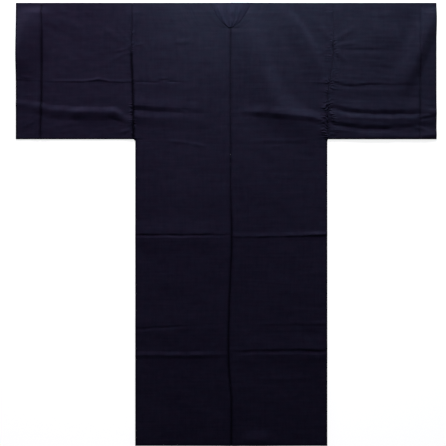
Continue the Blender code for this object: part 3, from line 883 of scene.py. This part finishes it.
def sleeve_piece(side, name):
    """The sleeve, or the strip that is joined on as its end."""
    main = name == "sleeve"
    outward = side.outward
    seed = side.sleeve.seed

    def edges(depth, shift=0.0):
        """Both edges. A shift moves the sewn ones, but not the open cuff."""
        half_gap = outward * SEAM_GAP / 2
        strip = along(side.strip_seam, depth) + outward * shift
        if main:
            ends = (along(side.armhole, depth) + outward * shift + half_gap, strip - half_gap)
        else:
            ends = (strip + half_gap, outward * CUFF)
        return tuple(sorted(float(end) for end in ends))

    def front_edges(depth):
        """The same edges under the sleeve, where each sewn one lies a little further in."""
        return edges(depth, FRONT_SEAM_SHIFT)

    def relief(x, depth):
        from_arm, from_cuff = inner_outer(side, x, edges(depth[0]))
        lift = seam_swell(from_arm, side.arm_swell if main else SEAM_SWELL)
        lift += allowance_step(from_arm)
        if main:
            lift += seam_swell(from_cuff)
            lift += puckers(from_arm, depth, side.puckers, side.sleeve.pucker_spread, seed + 1)
            lift += puckers(from_cuff, depth, FAINT_PUCKERS, FAINT_SPREAD, seed + 3)
        else:
            lift += puckers(from_arm, depth, FAINT_PUCKERS, FAINT_SPREAD, seed + 5)
            lift += allowance_step(from_cuff)
        return laid(lift, side.sleeve, x, depth, SLEEVE_DRAPE)

    # Painted shade: darker colour at the armhole, the strip seam, the cuff and the hem
    def painted_shading(x, depth):
        from_arm, from_cuff = inner_outer(side, x, edges(depth[0]))
        strip_shade = along(side.strip_shade, depth)
        if main:
            arm, cuff = along(side.arm_shade, depth), strip_shade
        else:
            arm, cuff = strip_shade, PAINTED_EDGE_SHADE
        ends = np.maximum(painted_seam_shade(from_arm, arm), painted_seam_shade(from_cuff, cuff))
        return np.maximum(ends, painted_edge_shade(SLEEVE_DEPTH - depth))

    left, right = edges(0.0)
    columns = even_columns(right - left, SLEEVE_COLUMN)
    grid = folded_grid(SLEEVE_DEPTHS, SLEEVE_FRONT_DEPTHS, edges, front_edges, columns,
                       (left_floor, sleeve_floor, relief, painted_shading), seed)
    return cloth_mesh(side.name + "_" + name, *grid, grid[0][0, :, 0])


left_sleeve = sleeve_piece(LEFT, "sleeve")
left_sleeve_end = sleeve_piece(LEFT, "sleeve_end")
right_sleeve = sleeve_piece(RIGHT, "sleeve")
right_sleeve_end = sleeve_piece(RIGHT, "sleeve_end")

# %% [markdown]
# ## Overlap panels
# Under the back lie the overlap panels, one on each front. A panel has a pointed top and is cut
# back on a slant where the collar is sewn on, so its grid leaves out the cells beside the collar.

# %% Overlap pieces
OVERLAP_TO_COLLAR = 40
OVERLAP_TO_EDGE = 24
ABOVE_COLLAR_ROW = 0.001


def overlap_piece(side):
    floor = FLOORS[side.name]
    order = slice(None, None, 1 if side is LEFT else -1)
    collar_row = COLLAR_END + SEAM_GAP / 2
    upper_rows = depths(((OVERLAP_TIP_ROW, collar_row - ABOVE_COLLAR_ROW, COARSE),))
    lower_rows = depths(((collar_row, LENGTH - BEFORE_RIM, COARSE),), (collar_row, *HEM_ROWS))
    rows = Rows(WALL)
    for depth in (*upper_rows, *lower_rows):
        seam = overlap_seam(depth) + SEAM_GAP / 2
        collar_side = min(collar_seam(depth), COLLAR_CROSS) - SEAM_GAP / 2
        inner_part = mix(seam, collar_side, np.linspace(0.0, 1.0, OVERLAP_TO_COLLAR + 1))
        edge_part = mix(collar_side, FRONT_EDGE, np.linspace(0.0, 1.0, OVERLAP_TO_EDGE + 1))[1:]
        reach = np.concatenate([inner_part, edge_part])[order]
        open_end = FRONT_EDGE if depth >= collar_row else collar_side
        rims = np.minimum(rim_share(reach - seam), rim_share(np.abs(open_end - reach)))
        rims = np.minimum(rims, rim_share(LENGTH - depth))
        x = CENTRE - side.outward * reach
        rows.under(x, depth, floor, rims)
    beside = np.zeros((len(rows.points) - 1, OVERLAP_TO_COLLAR + OVERLAP_TO_EDGE), bool)
    beside[:len(upper_rows), OVERLAP_TO_COLLAR:] = True
    grid = rows.grid()
    return cloth_mesh(side.name + "_overlap", *grid, grid[0][-1, :, 0], beside[:, order])


left_overlap = overlap_piece(LEFT)
right_overlap = overlap_piece(RIGHT)

# %% [markdown]
# ## Collar
# The collar is a long band folded double. Laid flat, its part behind the neck is pressed into
# the V of the back, where it has more cloth than room and so lies in soft folds that run
# together at the point of the V. At the shoulder line it turns over, and its two arms run down
# the fronts underneath.

# %% Collar piece
NECK_FOLDS = ((-1.0, 0.0), (-0.90, 0.0004), (-0.66, 0.0042), (-0.30, 0.0008), (-0.22, 0.0010),
              (0.08, 0.0044), (0.16, 0.0040), (0.32, 0.0008), (0.36, 0.0010), (0.50, 0.0036),
              (0.56, 0.0032), (0.72, 0.0006), (0.80, 0.0014), (0.90, 0.0006), (1.0, 0.0))
NECK_FOLD_END = 0.03
NECK_SMOOTH = 5
NECK_UNEVEN = 0.25
NECK_UNEVEN_LENGTH = 0.03
COLLAR_HALF_COLUMNS = 34
CLOSE_COLUMNS = ((0.005, 0.012, 0.024), (0.976, 0.988, 0.995))
V_POINT = 0.99
ARM_SLIT = 0.002


def collar_piece():
    share = np.linspace(0.0, 1.0, COLLAR_HALF_COLUMNS)
    share[1:4], share[-4:-1] = CLOSE_COLUMNS
    slit = ARM_SLIT / NECK_HALF
    place = np.concatenate([-1.0 + (1.0 - slit) * share, slit + (1.0 - slit) * share])
    arm_share = np.concatenate([share, share[::-1]])
    on_left = place < 0.0
    sides = np.where(on_left, -1.0, 1.0)

    def floor(x, depth):
        return np.where(on_left, left_floor(x, depth), right_floor(x, depth))

    def raised(x, depth):
        spread = back_floor(x, 0.0 * x) - floor(x, 0.0 * x)
        short = np.clip(COLLAR_FOLD_SPREAD - spread, 0.0, None)
        return back_floor(x, depth) + short * (1.0 - ease(depth / FOLD_EASE))

    folds = along(NECK_FOLDS, place)
    padded = np.pad(folds, NECK_SMOOTH // 2, mode="edge")
    folds = np.convolve(padded, np.ones(NECK_SMOOTH) / NECK_SMOOTH, mode="valid")
    folds = folds * ease((1.0 - np.abs(place)) / NECK_FOLD_END)
    rows = Rows(COLLAR_WALL)
    v_depths = [row for row in NECK_ROWS[::-1] if row < V_POINT * NECK_DROP] + [FOLD_START]
    for depth in v_depths:
        x = CENTRE + place * (neck_line(depth) - NECK_LINE_GAP / 2)
        settled = ease((depth - 0.5 * FOLD_START) / SETTLE)
        uneven = 1.0 + NECK_UNEVEN * waves(x, depth, NECK_UNEVEN_LENGTH, 7)
        underside = raised(x, np.full_like(x, depth)) + folds * settled * uneven
        rows.flat(x, depth, underside, 1.0, np.maximum(column_rims(x), NECK_RIM))

    x = CENTRE + place * (NECK_HALF - NECK_LINE_GAP / 2)
    slit_edge = ARM_SLIT * (1.0 - NECK_LINE_GAP / 2 / NECK_HALF)
    slit_rims = rim_share(np.abs(np.abs(x - CENTRE) - slit_edge))
    rows.turn(x, floor(x, 0.0 * x), raised(x, 0.0 * x), column_rims(x),
              np.minimum(column_rims(x), slit_rims))

    arm_end = COLLAR_END - SEAM_GAP / 2
    for depth in depths(((FOLD_START, arm_end - BEFORE_RIM, COARSE),), arm_end - LAST_ROWS[:-1]):
        x = CENTRE - sides * (collar_seam(depth) + mix(SEAM_GAP, COLLAR_WIDTH, arm_share))
        rims = rim_share(np.minimum(arm_share, 1.0 - arm_share) * COLLAR_WIDTH)
        rims = np.minimum(rims, rim_share(arm_end - depth))
        rows.under(x, depth, floor, rims)
    missing = np.zeros((len(rows.points) - 1, len(place) - 1), bool)
    missing[len(v_depths) + FOLD_TURN:, COLLAR_HALF_COLUMNS - 1] = True
    grid = rows.grid()
    return cloth_mesh("collar_band", *grid, grid[0][len(v_depths), :, 0], missing)


collar_band = collar_piece()

# %% [markdown]
# ## The navy cloth
# The cloth is a dark navy plain weave. Three things make it read as woven: threads across and
# along, which are a fine relief; slubs, the thicker bits of weft that show as faint streaks
# across the width; and the slow drift of tone of a dyed cloth. All follow the piece's own map in
# metres, so that they run true on a slanting collar and over a fold. A little sheen lifts the
# nap where it is seen or lit from low down.

# %% Cloth material
THREAD_PITCH = 0.0007
# How dark the painted shade makes the cloth in a deep groove
PAINTED_SHADE_DARK = 0.30
NAVY_VIOLET = (0.0125, 0.0080, 0.0265)
NAVY_BLUE = (0.0100, 0.0085, 0.0270)
PALE_VIOLET = (0.0205, 0.0145, 0.0380)
PALE_BLUE = (0.0165, 0.0155, 0.0385)
# Scale across and along the cloth, detail, shift, and share in the cloth's paleness
STREAKS = {"weft": (14.0, 620.0, 3.0, 0.0, 0.16), "warp": (700.0, 9.0, 2.0, 3.0, 0.10),
           "bars": (9.0, 150.0, 3.0, 5.0, 0.26), "stripes": (170.0, 8.0, 2.0, 9.0, 0.16),
           "blotches": (55.0, 45.0, 3.0, 7.0, 0.26), "drift": (5.0, 4.0, 2.0, 13.0, 0.20)}
NOISE_RANGE = (0.30, 0.70)
SLUB_RANGE = (0.60, 0.78)
SLUB_SHARE = 0.10
TONE_RANGE = (0.30, 0.86)
HUE_RANGE = (0.35, 0.65)
ROUGHNESS = (0.82, 0.70)


def fill_in(tree, node, **settings):
    """Set a node's inputs and properties. An input's name has its spaces as underscores.

    An input takes a value, or another node's output, to which it is linked.
    """
    for name, value in settings.items():
        label = name.replace("_", " ")
        if label not in node.inputs:
            setattr(node, name, value)
        elif isinstance(value, bpy.types.NodeSocket):
            tree.links.new(value, node.inputs[label])
        else:
            node.inputs[label].default_value = value


def add_node(tree, kind, **settings):
    node = tree.nodes.new(kind)
    fill_in(tree, node, **settings)
    return node


def new_material(name, **settings):
    material = bpy.data.materials.new(name)
    material.use_nodes = True
    fill_in(material.node_tree, material.node_tree.nodes["Principled BSDF"], **settings)
    return material


def stretched_noise(tree, cloth_map, across, lengthwise, detail, shift):
    """Noise stretched by a Mapping node, for streaks that run one way."""
    mapping = add_node(tree, "ShaderNodeMapping", Vector=cloth_map,
                       Scale=(across, lengthwise, 1.0), Location=(shift, 2.0 * shift, 0.0))
    noise = add_node(tree, "ShaderNodeTexNoise", Vector=mapping.outputs["Vector"], Scale=1.0,
                     Detail=detail, Roughness=0.55)
    return noise.outputs["Fac"]


def combine(tree, operation, first, second):
    node = add_node(tree, "ShaderNodeMath", operation=operation)
    for socket, value in zip(node.inputs, (first, second)):
        if isinstance(value, float):
            socket.default_value = value
        else:
            tree.links.new(value, socket)
    return node.outputs["Value"]


def fit_range(tree, value, low, high, to_low, to_high):
    node = add_node(tree, "ShaderNodeMapRange", Value=value, From_Min=low, From_Max=high,
                    To_Min=to_low, To_Max=to_high)
    return node.outputs["Result"]


def mix_colours(tree, amount, first, second, painted_light_tone=1.0):
    """A blend of two colours, each given as numbers or as another node's colour."""
    node = add_node(tree, "ShaderNodeMix", data_type="RGBA", Factor=amount)
    ends = [socket for socket in node.inputs if socket.type == "RGBA"]
    for socket, colour in zip(ends, (first, second)):
        if isinstance(colour, tuple):
            socket.default_value = (*(painted_light_tone * channel for channel in colour), 1.0)
        else:
            tree.links.new(colour, socket)
    return [socket for socket in node.outputs if socket.type == "RGBA"][0]


def navy_cloth(name, shift, painted_light_tone=1.0):
    material = new_material(name)
    tree = material.node_tree
    cloth_map = add_node(tree, "ShaderNodeUVMap", uv_map="cloth").outputs["UV"]
    parts = add_node(tree, "ShaderNodeSeparateXYZ", Vector=cloth_map)
    threads = []
    for direction in ("X", "Y"):
        turned = combine(tree, "MULTIPLY", parts.outputs[direction], math.pi / THREAD_PITCH)
        threads.append(combine(tree, "SINE", turned, 0.0))
    weave = combine(tree, "MULTIPLY", threads[0], threads[1])

    noises = {}
    for label, (across, lengthwise, detail, start, _) in STREAKS.items():
        noises[label] = stretched_noise(tree, cloth_map, across, lengthwise, detail,
                                        shift + start)
    slubs = fit_range(tree, noises["weft"], *SLUB_RANGE, 0.0, 1.0)
    amount = combine(tree, "MULTIPLY", slubs, SLUB_SHARE)
    for label, noise in noises.items():
        spread = fit_range(tree, noise, *NOISE_RANGE, 0.0, STREAKS[label][-1])
        amount = combine(tree, "ADD", amount, spread)
    amount = fit_range(tree, amount, *TONE_RANGE, 0.0, 1.0)

    hue = stretched_noise(tree, cloth_map, 38.0, 52.0, 3.0, shift + 17.0)
    hue = fit_range(tree, hue, *HUE_RANGE, 0.0, 1.0)
    deep = mix_colours(tree, hue, NAVY_VIOLET, NAVY_BLUE, painted_light_tone)
    pale = mix_colours(tree, hue, PALE_VIOLET, PALE_BLUE, painted_light_tone)
    colour = mix_colours(tree, amount, deep, pale)
    # Painted shade: the seam attribute darkens the base colour and lowers the specular and sheen in
    # grooves and along edges
    seam = add_node(tree, "ShaderNodeAttribute", attribute_name="seam").outputs["Fac"]
    lit = fit_range(tree, seam, 0.0, 1.0, 1.0, PAINTED_SHADE_DARK)
    shaded = add_node(tree, "ShaderNodeVectorMath", operation="SCALE", Vector=colour, Scale=lit)

    height = combine(tree, "MULTIPLY", weave, 0.35)
    for part, share in ((noises["weft"], 2.4), (slubs, 0.9), (noises["warp"], 1.2)):
        height = combine(tree, "ADD", height, combine(tree, "MULTIPLY", part, share))
    bump = add_node(tree, "ShaderNodeBump", Strength=0.5, Distance=0.00012, Height=height)
    fill_in(tree, tree.nodes["Principled BSDF"], Base_Color=shaded.outputs["Vector"],
            Normal=bump.outputs["Normal"],
            Roughness=fit_range(tree, amount, 0.0, 1.0, *ROUGHNESS),
            Specular_IOR_Level=combine(tree, "MULTIPLY", lit, 0.12),
            Sheen_Weight=combine(tree, "MULTIPLY", lit, 0.05), Sheen_Roughness=0.45,
            Sheen_Tint=(0.42, 0.46, 0.85, 1.0))
    return material


# The sleeve cloth is painted 3% darker, as painted shade where less light reaches the sleeves; the
# collar cloth is painted 20% paler, as a painted highlight where its face catches the light
CLOTHS = {"body_cloth": navy_cloth("navy_body_cloth", 0.0),
          "sleeve_cloth": navy_cloth("navy_sleeve_cloth_painted_shade", 11.0, 0.97),
          "collar_cloth": navy_cloth("navy_collar_cloth_painted_highlight", 23.0, 1.20)}
print("cloths:", [cloth.name for cloth in CLOTHS.values()])

# %% [markdown]
# ## Dress the frame
# Each sheet takes the place of its solid, rides with the garment and takes its slot's finish.
# Its flat size is the width and length of its cloth, without seam allowances.

# %% Which sheet stands for which solid
Dressed = namedtuple("Dressed", "piece node slot width length area rests_on",
                     defaults=(None, ()))
DRESSED = (
    Dressed(left_body, "body_left", "body_cloth", 0.318, 2.80, 0.775, ("left_overlap",)),
    Dressed(right_body, "body_right", "body_cloth", 0.324, 2.80, 0.790, ("right_overlap",)),
    Dressed(left_overlap, "overlap_left", "body_cloth", 0.150, 1.14, 0.115),
    Dressed(right_overlap, "overlap_right", "body_cloth", 0.150, 1.14, 0.115, ("left_body",)),
    Dressed(left_sleeve, "sleeve_left", "sleeve_cloth", 0.288, 0.866),
    Dressed(right_sleeve, "sleeve_right", "sleeve_cloth", 0.285, 0.866),
    Dressed(left_sleeve_end, "sleeve_end_left", "sleeve_cloth", 0.081, 0.866),
    Dressed(right_sleeve_end, "sleeve_end_right", "sleeve_cloth", 0.052, 0.866),
    Dressed(collar_band, "collar", "collar_cloth", 0.120, 1.54, 0.0900),
)
for dressed in DRESSED:
    dressed.piece.data.materials.append(CLOTHS[dressed.slot])
    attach(dressed.piece, "root")
    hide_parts(dressed.node)
    print(dressed.piece.name, "stands for", dressed.node)

# %% [markdown]
# ## Stitches
# The long seams are sewn by hand with a small running stitch, in thread of the cloth's colour,
# which only shows deep in the groove. The hems and cuffs are turned up and caught with tiny
# stitches far apart. A path follows each row of sewing on the finished cloth, and one node tree
# sets a stitch at every step along it.

# %% Stitch tree
def stitch_tree(name):
    """A tree that sets a stitch at every step along a path, and its sockets' identifiers."""
    tree = bpy.data.node_groups.new(name, "GeometryNodeTree")
    sockets = {}
    for label, kind, in_out in (("Path", "Geometry", "INPUT"), ("Step", "Float", "INPUT"),
                                ("Half length", "Float", "INPUT"),
                                ("Thread radius", "Float", "INPUT"),
                                ("Thread", "Material", "INPUT"),
                                ("Stitches", "Geometry", "OUTPUT")):
        socket = tree.interface.new_socket(name=label, in_out=in_out,
                                           socket_type="NodeSocket" + kind)
        sockets[label] = socket.identifier
    inputs = add_node(tree, "NodeGroupInput").outputs
    curve = add_node(tree, "GeometryNodeMeshToCurve", Mesh=inputs["Path"])
    steps = add_node(tree, "GeometryNodeResampleCurve", mode="LENGTH",
                     Curve=curve.outputs["Curve"], Length=inputs["Step"])
    tangent = add_node(tree, "GeometryNodeInputTangent")
    turned = add_node(tree, "FunctionNodeAlignRotationToVector", axis="X",
                      Vector=tangent.outputs["Tangent"])
    bead = add_node(tree, "GeometryNodeMeshIcoSphere", Radius=1.0, Subdivisions=2)
    size = add_node(tree, "ShaderNodeCombineXYZ", X=inputs["Half length"],
                    Y=inputs["Thread radius"], Z=inputs["Thread radius"])
    placed = add_node(tree, "GeometryNodeInstanceOnPoints", Points=steps.outputs["Curve"],
                      Instance=bead.outputs["Mesh"], Rotation=turned.outputs["Rotation"],
                      Scale=size.outputs["Vector"])
    solid = add_node(tree, "GeometryNodeRealizeInstances", Geometry=placed.outputs["Instances"])
    painted = add_node(tree, "GeometryNodeSetMaterial", Geometry=solid.outputs["Geometry"],
                       Material=inputs["Thread"])
    add_node(tree, "NodeGroupOutput", Stitches=painted.outputs["Geometry"])
    return tree, sockets


# %% Paths on the finished cloth
SURFACES = [BVHTree.FromPolygons([vertex.co for vertex in dressed.piece.data.vertices],
                                 [polygon.vertices for polygon in dressed.piece.data.polygons])
            for dressed in DRESSED]
SIDEWAYS = 0.0012
SKY = 0.1
PATH_STEP = 0.004


def cloth_height(x, y):
    """The height of the uppermost cloth at a place."""
    hits = [surface.ray_cast(Vector((x, y, SKY)), Vector((0.0, 0.0, -1.0)))[0]
            for surface in SURFACES]
    return max([hit.z for hit in hits if hit], default=0.0)


def sewn_path(name, rows, sink):
    """A line of edges along places (x, depth), at the lower of the cloth's two sides."""
    points = []
    for x, depth in rows:
        y = SHOULDER_Y - depth
        height = min(cloth_height(x - SIDEWAYS, y), cloth_height(x + SIDEWAYS, y))
        points.append((x, y, height - sink))
    mesh = bpy.data.meshes.new(name)
    mesh.from_pydata(points, [(step, step + 1) for step in range(len(points) - 1)], [])
    return put_in_scene(name, mesh)


def down(table, start, end):
    """Places down a seam from its table."""
    return [(float(along(table, depth)), depth) for depth in np.arange(start, end, PATH_STEP)]


def level(depth, start, end):
    """Places straight across at one depth."""
    return [(x, depth) for x in np.arange(start, end, PATH_STEP)]


# %% Make the stitches
HEM_TURN = 0.018
THREAD_RADIUS = 0.00022
END_MARGIN = 0.004
SIDE_MARGIN = 0.01
SLEEVE_TOP = 0.02
HEM_MIDDLE = (0.010, 0.022)
# Step, half a stitch's length, and depth in the cloth
RUNNING = (0.0042, 0.0014, 0.0003)
HEMMING = (0.018, 0.0008, 0.00005)
Sewing = namedtuple("Sewing", "name rows step half_length sink")


def sleeve_sewing(name, table, kind):
    return Sewing(name, down(table, SLEEVE_TOP, SLEEVE_DEPTH - END_MARGIN), *kind)


SEWING = (
    Sewing("centre_stitches", down(CENTRE_SEAM, NECK_DROP + SIDE_MARGIN, LENGTH - END_MARGIN),
           *RUNNING),
    sleeve_sewing("left_armhole_stitches", ARMHOLE_LEFT, RUNNING),
    sleeve_sewing("right_armhole_stitches", ARMHOLE_RIGHT, RUNNING),
    sleeve_sewing("left_strip_stitches", STRIP_SEAM_LEFT, RUNNING),
    sleeve_sewing("right_strip_stitches", STRIP_SEAM_RIGHT, RUNNING),
    Sewing("left_hem_stitches",
           level(LENGTH - HEM_TURN, SIDE_LEFT + SIDE_MARGIN, HEM_MIDDLE[0]), *HEMMING),
    Sewing("right_hem_stitches",
           level(LENGTH - HEM_TURN, HEM_MIDDLE[1], SIDE_RIGHT - SIDE_MARGIN), *HEMMING),
    sleeve_sewing("left_cuff_stitches", ((0.0, -CUFF + HEM_TURN),), HEMMING),
    sleeve_sewing("right_cuff_stitches", ((0.0, CUFF - HEM_TURN),), HEMMING),
)

thread = new_material("navy_thread", Base_Color=(0.020, 0.018, 0.045, 1.0), Roughness=0.55,
                      Specular_IOR_Level=0.25)
tree, sockets = stitch_tree("running_stitch")
for sewing in SEWING:
    path = sewn_path(sewing.name, sewing.rows, sewing.sink)
    modifier = path.modifiers.new("stitches", "NODES")
    modifier.node_group = tree
    for label, value in (("Step", sewing.step), ("Half length", sewing.half_length),
                         ("Thread radius", THREAD_RADIUS), ("Thread", thread)):
        modifier[sockets[label]] = value
    shown = path.evaluated_get(bpy.context.evaluated_depsgraph_get())
    finished = bpy.data.meshes.new_from_object(shown)
    path.modifiers.clear()
    path.data = finished
    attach(path, "root")
    print(sewing.name, len(finished.polygons), "faces")

# %% [markdown]
# ## Floor and light
# The photograph has a white ground and light that comes from beyond the shoulder line, so the
# cloth is palest at the top. A wide soft window there is the main lamp. Three low and dimmer
# ones beyond the shoulder line, one near the middle and one past each cuff, rake the creases.
# The floor glows, so that it stays white at the hem too.

# %% Floor
FLOOR_HALF = 40.0

floor_mesh = bpy.data.meshes.new("floor")
floor_mesh.from_pydata([(-FLOOR_HALF, -FLOOR_HALF, 0.0), (FLOOR_HALF, -FLOOR_HALF, 0.0),
                        (FLOOR_HALF, FLOOR_HALF, 0.0), (-FLOOR_HALF, FLOOR_HALF, 0.0)], [],
                       [(0, 1, 2, 3)])
floor = put_in_scene("floor", floor_mesh)
floor_paint = new_material("floor_paint", Base_Color=(0.85, 0.85, 0.85, 1.0), Roughness=0.9,
                           Emission_Color=(1.0, 1.0, 1.0, 1.0), Emission_Strength=0.82)
floor_mesh.materials.append(floor_paint)

# %% Lights
Lamp = namedtuple("Lamp", "name place aim size spread power colour")
LAMPS = (
    Lamp("window", (0.00, 2.41, 1.22), (-0.40, 0.44, 0.0), (0.86, 0.77), 159, 28.92,
         (1.00, 0.81, 1.00)),
    Lamp("skylight", (0.29, 1.285, 0.35), (0.44, 1.00, 0.0), (1.33, 0.20), 95, 2.71,
         (0.47, 1.00, 0.68)),
    Lamp("right_sky", (0.98, 1.62, 0.18), (0.25, 0.50, 0.0), (0.60, 0.26), 120, 4.90,
         (0.71, 1.00, 0.94)),
    Lamp("left_sky", (-1.30, 1.40, 0.16), (-0.60, 0.62, 0.0), (0.36, 0.24), 120, 5.40,
         (0.83, 0.93, 1.00)),
)
for lamp in LAMPS:
    data = bpy.data.lights.new(lamp.name, "AREA")
    data.shape = "RECTANGLE"
    data.size, data.size_y = lamp.size
    data.spread = math.radians(lamp.spread)
    data.energy = lamp.power
    data.color = lamp.colour
    light = put_in_scene(lamp.name, data)
    light.location = lamp.place
    aim = [to - start for to, start in zip(lamp.aim, lamp.place)]
    light.rotation_mode = "QUATERNION"
    light.rotation_quaternion = Vector(aim).to_track_quat("-Z", "Y")
    light.visible_camera = False

world = bpy.data.worlds.new("studio")
world.use_nodes = True
world_tree = world.node_tree
fill = world_tree.nodes["Background"]
fill_in(world_tree, fill, Color=(0.81, 1.00, 0.95, 1.0), Strength=0.084)
backdrop = add_node(world_tree, "ShaderNodeBackground", Color=(0.95, 0.95, 0.95, 1.0))
seen = add_node(world_tree, "ShaderNodeLightPath")
either = add_node(world_tree, "ShaderNodeMixShader", Fac=seen.outputs["Is Camera Ray"])
world_tree.links.new(fill.outputs["Background"], either.inputs[1])
world_tree.links.new(backdrop.outputs["Background"], either.inputs[2])
fill_in(world_tree, world_tree.nodes["World Output"], Surface=either.outputs["Shader"])
bpy.context.scene.world = world
bpy.context.scene.view_settings.view_transform = "Standard"
print("lamps:", [lamp.name for lamp in LAMPS])
